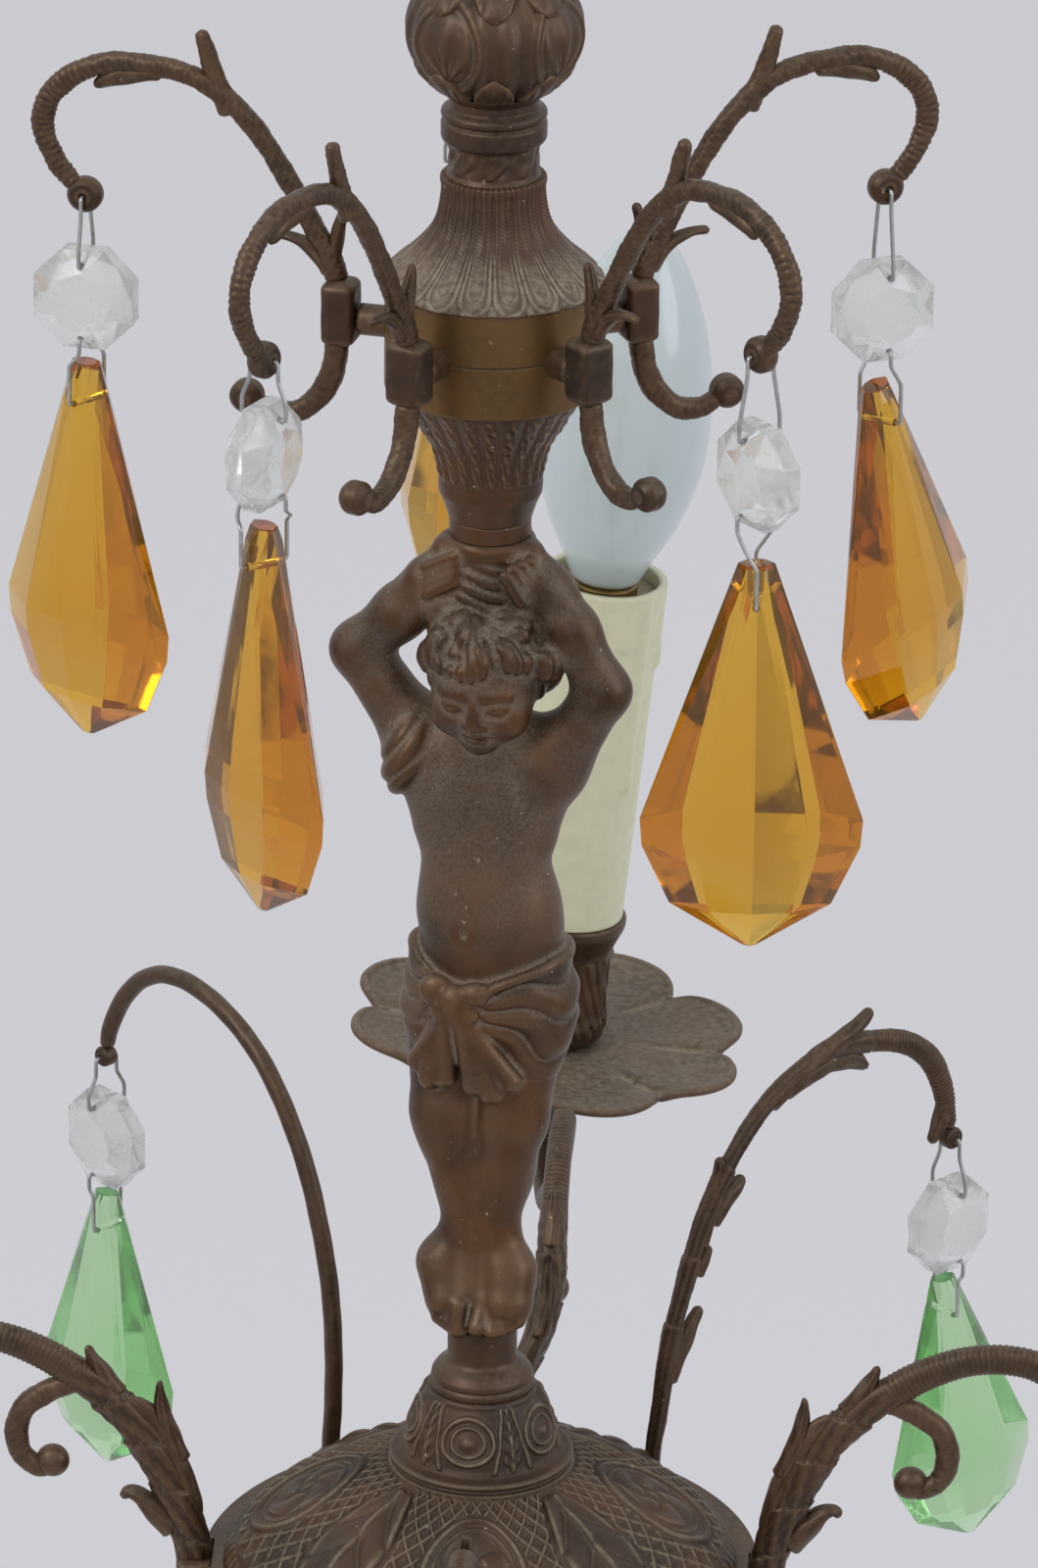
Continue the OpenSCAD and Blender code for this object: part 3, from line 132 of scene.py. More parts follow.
def skin(grid, closedRows=False):
    # joins rings of points into faces; rings that don't close on themselves get a fan at each end
    rows, columns = grid.shape[:2]
    points = grid.reshape(-1, 3)
    i = np.arange(rows if closedRows else rows - 1)[:, None]
    j = np.arange(columns)[None, :]
    a, b = i * columns + j, i * columns + (j + 1) % columns
    c, d = (i + 1) % rows * columns + (j + 1) % columns, (i + 1) % rows * columns + j
    quads = np.stack([x.ravel() for x in np.broadcast_arrays(a, b, c, d)], 1)
    tris = np.zeros((0, 3), int)
    if not closedRows:
        n = len(points)
        points = np.vstack([points, grid[0].mean(0), grid[-1].mean(0)])
        k = np.arange(columns)
        last = (rows - 1) * columns
        tris = np.vstack([np.stack([np.full(columns, n), (k + 1) % columns, k], 1),
                          np.stack([np.full(columns, n + 1), last + k, last + (k + 1) % columns], 1)])
    return facing(points, quads, tris)


def joined(parts):
    points, quads, tris, n = [], [], [], 0
    for p, q, t in parts:
        points.append(p)
        quads.append(q + n)
        tris.append(t + n)
        n += len(p)
    return np.vstack(points), np.vstack(quads), np.vstack(tris)


def moved(part, matrix):
    points, quads, tris = part
    m = np.array(matrix)
    return points @ m[:3, :3].T + m[:3, 3], quads, tris


def turnedBy(part, degrees):
    return moved(part, Matrix.Rotation(math.radians(degrees), 4, "Z"))


def hollows(points, quads, tris, rounds):
    # how far each point lies under its smoothed surroundings, along its normal: above 0 in a hollow
    corners = np.vstack([quads[:, [0, 1, 2]], quads[:, [0, 2, 3]], tris])
    face = np.cross(points[corners[:, 1]] - points[corners[:, 0]], points[corners[:, 2]] - points[corners[:, 0]])
    normal = np.zeros_like(points)
    for k in range(3):
        for axis in range(3):
            normal[:, axis] += np.bincount(corners[:, k], face[:, axis], len(points))
    pairs = np.vstack([quads[:, [k, (k + 1) % 4]] for k in range(4)] + [tris[:, [k, (k + 1) % 3]] for k in range(3)])
    pairs = np.vstack([pairs, pairs[:, ::-1]])
    count = np.maximum(np.bincount(pairs[:, 0], minlength=len(points)), 1)
    flat = points.copy()
    for _ in range(rounds):
        mean = np.stack([np.bincount(pairs[:, 0], flat[pairs[:, 1], k], len(points)) for k in range(3)], 1)
        flat = 0.35 * flat + 0.65 * mean / count[:, None]
    return np.einsum("ij,ij->i", flat - points, unit(normal))


def dress(obj, material, body, replaces):
    bpy.context.scene.collection.objects.link(obj)
    obj.data.materials.append(material)
    if replaces:
        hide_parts(replaces)
    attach(obj, body)
    return obj


def piece(name, part, material, replaces=None, body="chandelier", rounds=10, depth=0.22, extra=None):
    # depth is how deep a hollow is, in millimetres, that counts as full; extra(points) adds to it where dust lay, and
    # it also carries painted sheen and painted shade where a part is made paler or darker through the dust colour
    points, quads, tris = part
    mesh = bpy.data.meshes.new(name)
    mesh.from_pydata((points * mm).tolist(), [], quads.tolist() + tris.tolist())
    mesh.polygons.foreach_set("use_smooth", np.ones(len(mesh.polygons), bool))
    if rounds:
        # extra may hold painted sheen and painted shade as well as dust
        depths = np.clip(hollows(points, quads, tris, rounds) / depth, -1, 1) + (extra(points) if extra else 0)
        mesh.attributes.new("hollow", "FLOAT", "POINT").data.foreach_set("value", depths.astype(np.float32))
    mesh.update()
    return dress(bpy.data.objects.new(name, mesh), material, body, replaces)


# Shapes

def lathe(line, sides, relief=None):
    # closed outline (radius, height), outside first, turned about the axis;
    # each point moves out along the outline's normal by relief(angle, radius, height)
    line = np.asarray(line, float)
    along = unit(np.gradient(line, axis=0))
    out = np.stack([-along[:, 1], along[:, 0]], 1)
    angle = np.arange(sides) * tau / sides
    push = np.zeros((len(line), sides))
    if relief:
        push = push + relief(angle[None, :], line[:, :1], line[:, 1:])
    radius = np.maximum(line[:, :1] + out[:, :1] * push, 0.05)
    height = line[:, 1:] + out[:, 1:] * push
    return skin(np.stack([radius * np.cos(angle), radius * np.sin(angle), height], 2), closedRows=True)


def bar(route, step=0.5, sides=20, relief=None, power=2.0, blunt=0.7):
    # route of [radius, height, half width, half depth, bow]: ring = centre + depth * cos along the normal + width * sin sideways,
    # both raised to 2 / power for squarer sections; relief(length, angle) is added, and the ends close like half a ball
    s, p = smoothRoute(route, step)
    along = unit(np.gradient(p[:, :2], axis=0))
    normal = np.stack([-along[:, 1], along[:, 0]], 1)
    angle = np.arange(sides) * tau / sides
    c, d = np.cos(angle), np.sin(angle)
    c = np.sign(c) * np.abs(c) ** (2 / power)
    d = np.sign(d) * np.abs(d) ** (2 / power)
    near = np.clip(np.minimum(s, s[-1] - s) / blunt, 0, 1)
    close = np.sqrt(np.clip(1 - (1 - near) ** 2, 0.003, 1))[:, None]
    push = relief(s[:, None], angle[None, :]) if relief else 0
    depth = (p[:, 3:4] + push) * close
    width = (p[:, 2:3] + push) * close
    radius = p[:, :1] + normal[:, :1] * depth * c
    height = p[:, 1:2] + normal[:, 1:] * depth * c
    bow = p[:, 4:5] if p.shape[1] > 4 else 0
    return skin(np.stack([radius, width * d + bow, height], 2))


def shifted(route, r, z):
    return [[p[0] + r, p[1] + z, *p[2:]] for p in route]


def disc(r, z, radius, half, hole=0.05, button=0.0, sides=36, edge=0.8):
    # flat round end in the arm's own plane, with rounded edges, a hole through it and a raised middle; edge 0 makes it a knob
    turn = np.linspace(math.pi / 2, -math.pi / 2, 17)
    knob = np.stack([np.maximum(radius * np.cos(turn), hole), half * np.sin(turn)], 1)
    line = outline([[hole, half + button], [radius * 0.5, half + button], [radius * 0.66, half], [radius - edge, half],
                    [radius, half - edge], [radius, edge - half], [radius - edge, -half], [radius * 0.66, -half],
                    [radius * 0.5, -half - button], [hole, -half - button]], max(0.35, edge * 0.7), 0.4) if edge else knob
    angle = np.arange(sides) * tau / sides
    grid = np.stack([r + line[:, :1] * np.cos(angle), np.repeat(line[:, 1:], sides, 1), z + line[:, :1] * np.sin(angle)], 2)
    return skin(grid, closedRows=True)


def wireLoop(stations, centre, radius, sides=10):
    # closed loop of wire: stations of [half width, height, direction] down one leg and up the other, corners rounded,
    # each ring = path + radius * (cos * sideways + sin * across)
    a = np.array(stations, float)
    b = a[::-1] * [-1, 1, 1]
    flat = np.vstack([a, b])
    flat = np.vstack([flat, flat[:1]])
    pieces = []
    for k in range(len(flat) - 1):
        before, after = flat[k - 1 if k else -2], flat[k + 1]
        cut = 0.45
        here = flat[k]
        pieces += [mix(here, before, min(cut, 0.6 / max(np.linalg.norm((here - before)[:2]), 0.1)))]
        pieces += [here * 0.5 + pieces[-1] * 0.25 + mix(here, after, min(cut, 0.6 / max(np.linalg.norm((here - after)[:2]), 0.1))) * 0.25]
        pieces += [mix(here, after, min(cut, 0.6 / max(np.linalg.norm((here - after)[:2]), 0.1)))]
    path = np.array(pieces)
    turn = np.radians(path[:, 2])
    points = np.stack([centre[0] + path[:, 0] * np.cos(turn), centre[1] + path[:, 0] * np.sin(turn), path[:, 1]], 1)
    along = unit(np.roll(points, -1, 0) - np.roll(points, 1, 0))
    side = np.stack([-np.sin(turn), np.cos(turn), 0 * turn], 1)
    across = unit(np.cross(along, side))
    angle = np.arange(sides) * tau / sides
    grid = points[:, None] + radius * (np.cos(angle)[None, :, None] * side[:, None] + np.sin(angle)[None, :, None] * across[:, None])
    return skin(grid, closedRows=True)


def gem(name, points, edge, holes, place, material, body, replaces):
    # convex cut stone: the hull of its corners, its edges ground off by edge, with round holes (middle, radius) bored through
    shape = bmesh.new()
    for point in points:
        shape.verts.new(Vector(point) * mm)
    bmesh.ops.convex_hull(shape, input=shape.verts)
    bmesh.ops.delete(shape, geom=[v for v in shape.verts if not v.link_faces], context="VERTS")
    bmesh.ops.dissolve_limit(shape, angle_limit=0.01, verts=shape.verts, edges=shape.edges)
    mesh = bpy.data.meshes.new(name)
    shape.to_mesh(mesh)
    shape.free()
    blank = bpy.data.objects.new(name + "Blank", mesh)
    bpy.context.scene.collection.objects.link(blank)
    bevel = blank.modifiers.new("groundEdges", "BEVEL")
    bevel.width, bevel.segments, bevel.limit_method = edge * mm, 1, "ANGLE"
    drills = []
    for middle, radius in holes:
        turns = np.arange(16) * tau / 16
        rings = np.stack([np.stack([middle[0] + radius * np.cos(turns), np.full(16, y), middle[2] + radius * np.sin(turns)], 1) for y in (-12, 12)])
        drillPoints, quads, tris = skin(rings)
        drillMesh = bpy.data.meshes.new("drill")
        drillMesh.from_pydata((drillPoints * mm).tolist(), [], quads.tolist() + tris.tolist())
        drill = bpy.data.objects.new("drill", drillMesh)
        bpy.context.scene.collection.objects.link(drill)
        drills.append(drill)
        cut = blank.modifiers.new("bore", "BOOLEAN")
        cut.operation, cut.object = "DIFFERENCE", drill
    done = bpy.data.meshes.new_from_object(blank.evaluated_get(bpy.context.evaluated_depsgraph_get()))
    for spare in [blank, *drills]:
        spareMesh = spare.data
        bpy.data.objects.remove(spare)
        bpy.data.meshes.remove(spareMesh)
    done.name = name
    done.materials.clear()
    done.transform(place)
    done.update()
    return dress(bpy.data.objects.new(name, done), material, body, replaces)


# Materials

def addNode(tree, kind, settings=None, links=None):
    node = tree.nodes.new("ShaderNode" + kind)
    for key, value in (settings or {}).items():
        if isinstance(key, int) or key in node.inputs:
            node.inputs[key].default_value = value
        else:
            setattr(node, key, value)
    for key, source in (links or {}).items():
        tree.links.new(source, node.inputs[key])
    return node


def newMaterial(name):
    material = bpy.data.materials.new(name)
    material.use_nodes = True
    material.node_tree.nodes.clear()
    return material, material.node_tree


def blendColours(tree, a, b, share):
    # a where share is 0, b where it is 1; a colour is a list or a socket
    node = addNode(tree, "Mix", {"data_type": "RGBA"}, {0: share})
    for index, colour in ((6, a), (7, b)):
        if isinstance(colour, (list, tuple)):
            node.inputs[index].default_value = [*colour, 1]
        else:
            tree.links.new(colour, node.inputs[index])
    return node.outputs[2]


def ramp(tree, source, fromLow, fromHigh, toLow=0.0, toHigh=1.0):
    return addNode(tree, "MapRange", {1: fromLow, 2: fromHigh, 3: toLow, 4: toHigh}, {0: source}).outputs[0]


bronzeLook = {
    "dark": "#33241a", "mid": "#4d3a29", "warm": "#5d3d24", "rubbedAndHighlight": "#755b40", "dust": "#877a66",
    "cloudSize": 16, "grainSize": 1.5, "wearAndHighlight": 0.6, "hollowDust": 0.45, "upDust": 0.28, "specks": 0.5,
    "rough": 0.4, "metal": 0.5, "bump": 0.25}


def patina(name, changes):
    # cast brass under brown lacquer: dark patches where it pooled, a lighter, warmer colour on raised parts that is
    # partly rubbed wear and partly a painted highlight, pale dust in the hollows and on faces that look up, and a few
    # pale specks
    look = {**bronzeLook, **changes}
    material, tree = newMaterial(name)
    place = addNode(tree, "TexCoord").outputs["Object"]
    cloud = addNode(tree, "TexNoise", {"Scale": 1 / (look["cloudSize"] * mm), "Detail": 5.0}, {"Vector": place}).outputs[0]
    grain = addNode(tree, "TexNoise", {"Scale": 1 / (look["grainSize"] * mm), "Detail": 3.0}, {"Vector": place}).outputs[0]
    speck = addNode(tree, "TexNoise", {"Scale": 1 / (1.2 * mm), "Detail": 1.0}, {"Vector": place}).outputs[0]
    hollow = addNode(tree, "Attribute", {"attribute_name": "hollow"}).outputs["Fac"]
    up = addNode(tree, "SeparateXYZ", {}, {0: addNode(tree, "NewGeometry").outputs["Normal"]}).outputs[2]
    colour = blendColours(tree, linear(look["dark"]), linear(look["warm"]), ramp(tree, cloud, 0.38, 0.64))
    colour = blendColours(tree, colour, linear(look["mid"]), ramp(tree, grain, 0.3, 0.7, 0.1, 0.8))
    # painted highlight together with rubbed wear: points that stand above their surroundings (hollow below 0) take the
    # lighter, warmer colour
    wearAndHighlight = addNode(tree, "Math", {"operation": "MULTIPLY"}, {0: ramp(tree, hollow, -0.1, -0.8, 0.0, look["wearAndHighlight"]), 1: ramp(tree, grain, 0.3, 0.7, 0.5, 1.1)})
    colour = blendColours(tree, colour, linear(look["rubbedAndHighlight"]), wearAndHighlight.outputs[0])
    sunk = ramp(tree, hollow, 0.12, 0.9, 0.0, look["hollowDust"])
    above = ramp(tree, up, 0.2, 1.0, 0.0, look["upDust"])
    dust = addNode(tree, "Math", {}, {0: sunk, 1: above}).outputs[0]
    dust = addNode(tree, "Math", {"operation": "MULTIPLY", "use_clamp": True}, {0: dust, 1: ramp(tree, grain, 0.3, 0.7, 0.4, 1.25)}).outputs[0]
    colour = blendColours(tree, colour, linear(look["dust"]), dust)
    colour = blendColours(tree, colour, linear("#b0a594"), ramp(tree, speck, 0.76, 0.8, 0.0, look["specks"]))
    bump = addNode(tree, "Bump", {"Strength": look["bump"], "Distance": 0.12 * mm}, {"Height": grain}).outputs[0]
    shader = addNode(tree, "BsdfPrincipled", {}, {
        "Base Color": colour, "Roughness": ramp(tree, dust, 0.0, 1.0, look["rough"], 0.85),
        "Metallic": ramp(tree, dust, 0.0, 0.6, look["metal"], 0.0), "Normal": bump})
    addNode(tree, "OutputMaterial", {}, {0: shader.outputs[0]})
    return material


def plainMaterial(name, colour, rough, metal=0.0, grain=0.4, change=0.12, coat=0.0):
    # one colour with a faint mottle and a fine grain; grain is in millimetres
    material, tree = newMaterial(name)
    place = addNode(tree, "TexCoord").outputs["Object"]
    noise = addNode(tree, "TexNoise", {"Scale": 1 / (grain * mm), "Detail": 3.0}, {"Vector": place}).outputs[0]
    tone = linear(colour)
    mixed = blendColours(tree, tone, [c * (1 - change) for c in tone], ramp(tree, noise, 0.3, 0.7))
    bump = addNode(tree, "Bump", {"Strength": 0.15, "Distance": 0.05 * mm}, {"Height": noise}).outputs[0]
    shader = addNode(tree, "BsdfPrincipled", {"Roughness": rough, "Metallic": metal, "Coat Weight": coat}, {"Base Color": mixed, "Normal": bump})
    addNode(tree, "OutputMaterial", {}, {0: shader.outputs[0]})
    return material


def cutGlass(name, tint, absorb, density, haze, milk):
    # polished glass with its colour all through, deeper where the light's way is longer, an old haze on it
    # that grows to the roughness given by haze, and milk as the share that scatters instead of passing
    material, tree = newMaterial(name)
    place = addNode(tree, "TexCoord").outputs["Object"]
    cloud = addNode(tree, "TexNoise", {"Scale": 1 / (3 * mm), "Detail": 3.0}, {"Vector": place}).outputs[0]
    shader = addNode(tree, "BsdfPrincipled", {"Base Color": [*linear(tint), 1], "Transmission Weight": 1.0 - milk, "IOR": 1.52},
                     {"Roughness": ramp(tree, cloud, 0.35, 0.75, haze * 0.2, haze)})
    volume = addNode(tree, "VolumeAbsorption", {"Color": [*absorb, 1], "Density": density})
    addNode(tree, "OutputMaterial", {}, {0: shader.outputs[0], 1: volume.outputs[0]})
    return material


bronze = patina("castBronzePatina", {})
figureBronze = patina("figureBronze", {"dark": "#3a291c", "warm": "#6a4424", "dust": "#8f8474", "grainSize": 0.6, "hollowDust": 0.42, "upDust": 0.25, "rough": 0.38, "metal": 0.55, "specks": 0.5})
armBronze = patina("armBronze", {"dark": "#291d15", "mid": "#3d2e22", "warm": "#4f3421", "hollowDust": 0.4, "upDust": 0.2, "wearAndHighlight": 0.5, "specks": 0.4})
dustyBronze = patina("dustyBronze", {"mid": "#52453a", "dust": "#8a7f6d", "hollowDust": 0.6, "upDust": 0.5, "wearAndHighlight": 0.35, "rough": 0.52, "metal": 0.3})
bellBronze = patina("dustyBellBronze", {"dark": "#3b281d", "warm": "#5e3a26", "dust": "#9a8f7b", "hollowDust": 0.95, "upDust": 0.1, "wearAndHighlight": 0.35, "metal": 0.35})
cupBronze = patina("flakedBronze", {"hollowDust": 0.3, "wearAndHighlight": 1.25, "rubbedAndHighlight": "#ab8f66", "grainSize": 0.9, "specks": 1.0})
# the dome's raised relief comes out much paler than its dark flat fields: rubbed wear together with a painted highlight
domeBronze = patina("embossedBronze", {"dark": "#2c2018", "mid": "#413024", "rubbedAndHighlight": "#7f715b", "dust": "#6a6050", "hollowDust": 0.3, "upDust": 0.12,
                                       "wearAndHighlight": 0.9, "rough": 0.5, "metal": 0.35})
drumBrass = patina("bareBrassBand", {"dark": "#5b4426", "mid": "#6d5230", "warm": "#7d5d35", "rubbedAndHighlight": "#8a6e48", "metal": 0.6, "specks": 0.3})
amberGlass = cutGlass("amberGlass", "#f0c550", [0.94, 0.79, 0.15], 110, 0.12, 0.06)
greenGlass = cutGlass("greenGlass", "#dff2d4", [0.40, 0.88, 0.36], 50, 0.16, 0.12)
clearGlass = cutGlass("cloudyCrystal", "#f3f4f2", [0.95, 0.98, 0.97], 6, 0.35, 0.26)
opalGlass = plainMaterial("opalGlass", "#c5d2d5", 0.2, grain=6, change=0.03, coat=0.4)
ivory = plainMaterial("ivorySleevePlastic", "#d8d7b8", 0.4, grain=3, change=0.08)
wireSteel = plainMaterial("tinnedWire", "#b9bbb8", 0.3, metal=0.9, grain=1.5, change=0.25)
screwSteel = plainMaterial("plainSteel", "#9a9a96", 0.4, metal=0.9, grain=1.0)
bareBrass = plainMaterial("yellowBrass", "#8a7448", 0.38, metal=0.8, grain=2.0, change=0.3)
holderPlastic = plainMaterial("agedHolderPlastic", "#a39a7c", 0.5, grain=1.0)
creamPlastic = plainMaterial("creamBlockPlastic", "#dcd9cc", 0.5, grain=1.0)
print("materials made")

# Camera, lights and floor

cameraPlace = {"lens": 235.64, "elevation": 22.93, "roll": 0.63, "target": (5.875, 0.0, -190.0), "distance": 1928.7}
camera = bpy.data.objects.new("camera", bpy.data.cameras.new("camera"))
bpy.context.scene.collection.objects.link(camera)
camera.data.lens = cameraPlace["lens"]
camera.data.sensor_width = 36
camera.data.clip_end = 100
rise = math.radians(cameraPlace["elevation"])
back = Vector((0, -math.cos(rise), math.sin(rise)))
camera.matrix_world = (
    Matrix.Translation((Vector(cameraPlace["target"]) + back * cameraPlace["distance"]) * mm)
    @ back.to_track_quat("Z", "Y").to_matrix().to_4x4() @ Matrix.Rotation(math.radians(cameraPlace["roll"]), 4, "Z"))
bpy.context.scene.camera = camera
bpy.context.scene.view_settings.view_transform = "Standard"

stageLook = {"back": "#dfe1e8", "floor": "#ecedf4", "floorDrop": 1000, "fill": 0.75, "key": 10.0, "side": 4.0}
world = bpy.data.worlds.new("paleRoom")
world.use_nodes = True
bpy.context.scene.world = world
world.node_tree.nodes.clear()
path = addNode(world.node_tree, "LightPath")
seen = addNode(world.node_tree, "Math", {"use_clamp": True}, {0: path.outputs["Is Camera Ray"], 1: path.outputs["Is Glossy Ray"]})
seen = addNode(world.node_tree, "Math", {"use_clamp": True}, {0: seen.outputs[0], 1: path.outputs["Is Transmission Ray"]})
fill = addNode(world.node_tree, "Background", {"Color": [*linear("#f6f5f4"), 1], "Strength": stageLook["fill"]})
shown = addNode(world.node_tree, "Background", {"Color": [*linear(stageLook["back"]), 1], "Strength": 1.0})
both = addNode(world.node_tree, "MixShader", {}, {0: seen.outputs[0], 1: fill.outputs[0], 2: shown.outputs[0]})
addNode(world.node_tree, "OutputWorld", {}, {0: both.outputs[0]})


def softLight(name, place, size, power, colour):
    lamp = bpy.data.lights.new(name, "AREA")
    lamp.shape, lamp.size, lamp.energy, lamp.color = "DISK", size, power, linear(colour)
    obj = bpy.data.objects.new(name, lamp)
    bpy.context.scene.collection.objects.link(obj)
    aim = Vector((0, 0, -0.2)) - Vector(place)
    obj.matrix_world = Matrix.Translation(place) @ aim.to_track_quat("-Z", "Y").to_matrix().to_4x4()


softLight("windowLeft", (-1.1, -0.9, 1.0), 0.9, stageLook["key"], "#ffffff")
softLight("windowRight", (1.3, -0.5, 0.3), 0.9, stageLook["side"], "#f4f6ff")

floorMaterial, floorTree = newMaterial("paleFloor")
floorShader = addNode(floorTree, "BsdfPrincipled", {"Base Color": [*linear(stageLook["floor"]), 1], "Roughness": 0.9, "Specular IOR Level": 0.1})
addNode(floorTree, "OutputMaterial", {}, {0: floorShader.outputs[0]})
floorMesh = bpy.data.meshes.new("floor")
reach = 40.0
level = cadBox[0].z - stageLook["floorDrop"] * mm
floorMesh.from_pydata([(-reach, -reach, level), (reach, -reach, level), (reach, reach, level), (-reach, reach, level)], [], [(0, 1, 2, 3)])
floorMesh.materials.append(floorMaterial)
floor = bpy.data.objects.new("floor", floorMesh)
bpy.context.scene.collection.objects.link(floor)
print("stage set")

# CAD nodes that keep their own shape
kept = {"central_pipe": bareBrass, "terminal_block": creamPlastic, "arm_screws": screwSteel, "lampholders": holderPlastic,
        "crown_hub": drumBrass, "lamp_nipples": bareBrass}
for name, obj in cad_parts.items():
    obj.data.materials.clear()
    obj.data.materials.append(kept.get(name, bronze))

# Column: each outline runs from the bore at the top, round the outside, to the bore below

bore = 4.3
column = {
    "ballRadius": 16.25, "ballMiddle": -40.45, "squash": 0.805, "leafLap": 1.0, "leafCount": 8,
    "petals": 18, "cupFlutes": 24, "medallions": 5, "gadroons": 24}


def leafShell(flat, tip):
    # leaves that lap over the ball from the flat's height to the tip's: the shell is sunk into the ball between the leaves
    middle, radius, squash = column["ballMiddle"], column["ballRadius"] + 0.2, column["squash"]
    heights = np.linspace(flat, tip, 26)
    outer = radius + mix(column["leafLap"], -0.7, np.linspace(0, 1, 26) ** 5)
    line = np.vstack([
        np.stack([np.sqrt(outer ** 2 - ((heights - middle) / squash) ** 2), heights], 1),
        np.stack([np.sqrt((radius - 0.9) ** 2 - ((heights[::-1] - middle) / squash) ** 2), heights[::-1]], 1)])

    def relief(angle, r, z):
        # leaf half width shrinks from 1 at the flat to 0 at the tip as (1 - share)^0.55; the rib is a ridge down its middle
        share = np.abs(z - flat) / abs(tip - flat)
        across = np.abs(wrap(angle * column["leafCount"])) / math.pi
        leaf = ease((1 - share * 0.97) ** 0.55 - across, 0.0, 0.16)
        rib = 0.22 * ridge(across, 0, 0.18) + 0.1 * np.cos(across * 18 - share * 5) * ease(across, 0.1, 0.25)
        outside = r > np.sqrt(np.maximum((radius - 0.78) ** 2 - ((z - middle) / squash) ** 2, 0))
        return np.where(outside, leaf * (rib - 0.4 * share) * (1 - share ** 4) - (1 - leaf) * (1.5 - 1.2 * share ** 5), 0)

    return lathe(line, 288, relief) if tip < flat else lathe(line[::-1], 288, relief)


def ballRelief(angle, r, z):
    # four oval cartouches with a raised border and a fan of veins, and upright ribs between them
    rise = (z - column["ballMiddle"]) / column["ballRadius"] / column["squash"]
    turn = wrap((angle + 0.62) * 4) / 4
    across, up = turn / 0.46, np.clip(rise, -0.9, 0.9) / 0.66
    away = np.sqrt(across ** 2 + up ** 2)
    border = 0.42 * ridge(away, 1, 0.1) - 0.22 * ridge(away, 0.84, 0.07)
    fan = 0.26 * np.cos(9 * np.arctan2(across, up + 0.8)) * ease(away, 0.85, 0.6)
    ribs = 0.3 * np.cos(wrap((angle + 0.62) * 4 + math.pi) * 5) * ease(away, 1.05, 1.2)
    return (border + fan + ribs) * (r > 8)


def collarRelief(angle, r, z):
    # leaf scrolls on the sleeve: two crossed waves
    band = ease(z, -67.6, -66.6) * ease(-z, 62.0, 62.8)
    wave = np.cos(angle * 8 + 1.2 * np.sin(z * 1.1)) * 0.2 + 0.1 * np.cos(angle * 16 - z * 1.7)
    return wave * band * (r > 7)


def bellRelief(angle, r, z):
    # each petal has two incised lines that run down its sides and join round its end, and the lip is lobed
    share = (-68.5 - z) / 20.8
    across = wrap(angle * column["petals"]) / math.pi
    outer = np.sqrt((across / 0.84) ** 2 + (np.maximum(share - 0.84, 0) / 0.13) ** 2)
    inner = np.sqrt((across / 0.5) ** 2 + (np.maximum(share - 0.8, 0) / 0.09) ** 2)
    lines = -0.34 * ridge(outer, 1, 0.13) - 0.12 * ridge(inner, 1, 0.13) * ease(share, 0.12, 0.3)
    crown = 0.16 * np.cos(across * math.pi / 2) * ease(share, 0.2, 0.7) + 0.16 * np.cos(across * 9) * ease(-share, -0.62, -0.3)
    lip = -0.5 * ease(np.abs(across), 0.72, 1.0) * ease(share, 0.93, 0.98)
    tool = 0.02 * np.cos(z * 9 + angle * 40)
    return (lines * ease(share, 0.04, 0.12) + crown + lip + tool * ease(share, 0.1, 0.2)) * (r > 8.6)


def cupRelief(angle, r, z):
    # upright flutes with worn, uneven ridges
    share = (-109.7 - z) / 18.2
    flute = np.abs(np.cos(angle * column["cupFlutes"] / 2))
    beads = 0.14 * np.sin(z * 2.3 + angle * 31) * np.sin(z * 0.9 - angle * 17) * ease(flute, 0.6, 0.95)
    band = ease(share, 0.05, 0.1) * ease(-share, -0.97, -0.93)
    return (0.5 * flute ** 0.7 - 0.42 + beads) * band * (r > 8)


def shoulderRelief(angle, r, z):
    # round medallions with rings and a raised heart, between them upright lobes round a pointed leaf, and a stepped base ring
    count = column["medallions"]
    turn = wrap((angle + 1.763) * count) / count
    side, up = turn * 13.2, (z + 321.8) * 1.1
    away = np.hypot(side * 0.95, up)
    inside = ease(-away, -5.9, -5.3)
    rings = (0.75 * ridge(away, 4.7, 0.5) + 0.5 * ridge(away, 3.0, 0.4) + 0.7 * ridge(away, 0, 1.3)) * inside
    other = wrap((angle + 1.763) * count + math.pi) / count * 13.2
    leaf = (0.75 * ridge(np.abs(other), 2.3 - 0.16 * up, 0.5) + 0.5 * ridge(other, 0, 0.5)
            + 0.3 * np.abs(np.cos(up * 1.1 - np.abs(other) * 1.5)) * ease(-np.abs(other), -2.0, -1.2)) * (1 - inside)
    ring = 0.3 * ridge(z, -329.4, 0.5) - 0.25 * ridge(z, -330.2, 0.3)
    face = ease(z, -328.2, -327.4) * ease(-z, 315.6, 316.4)
    return np.where(r > 9, (rings + leaf - 0.35) * face + ring * (r > 16.6), 0)


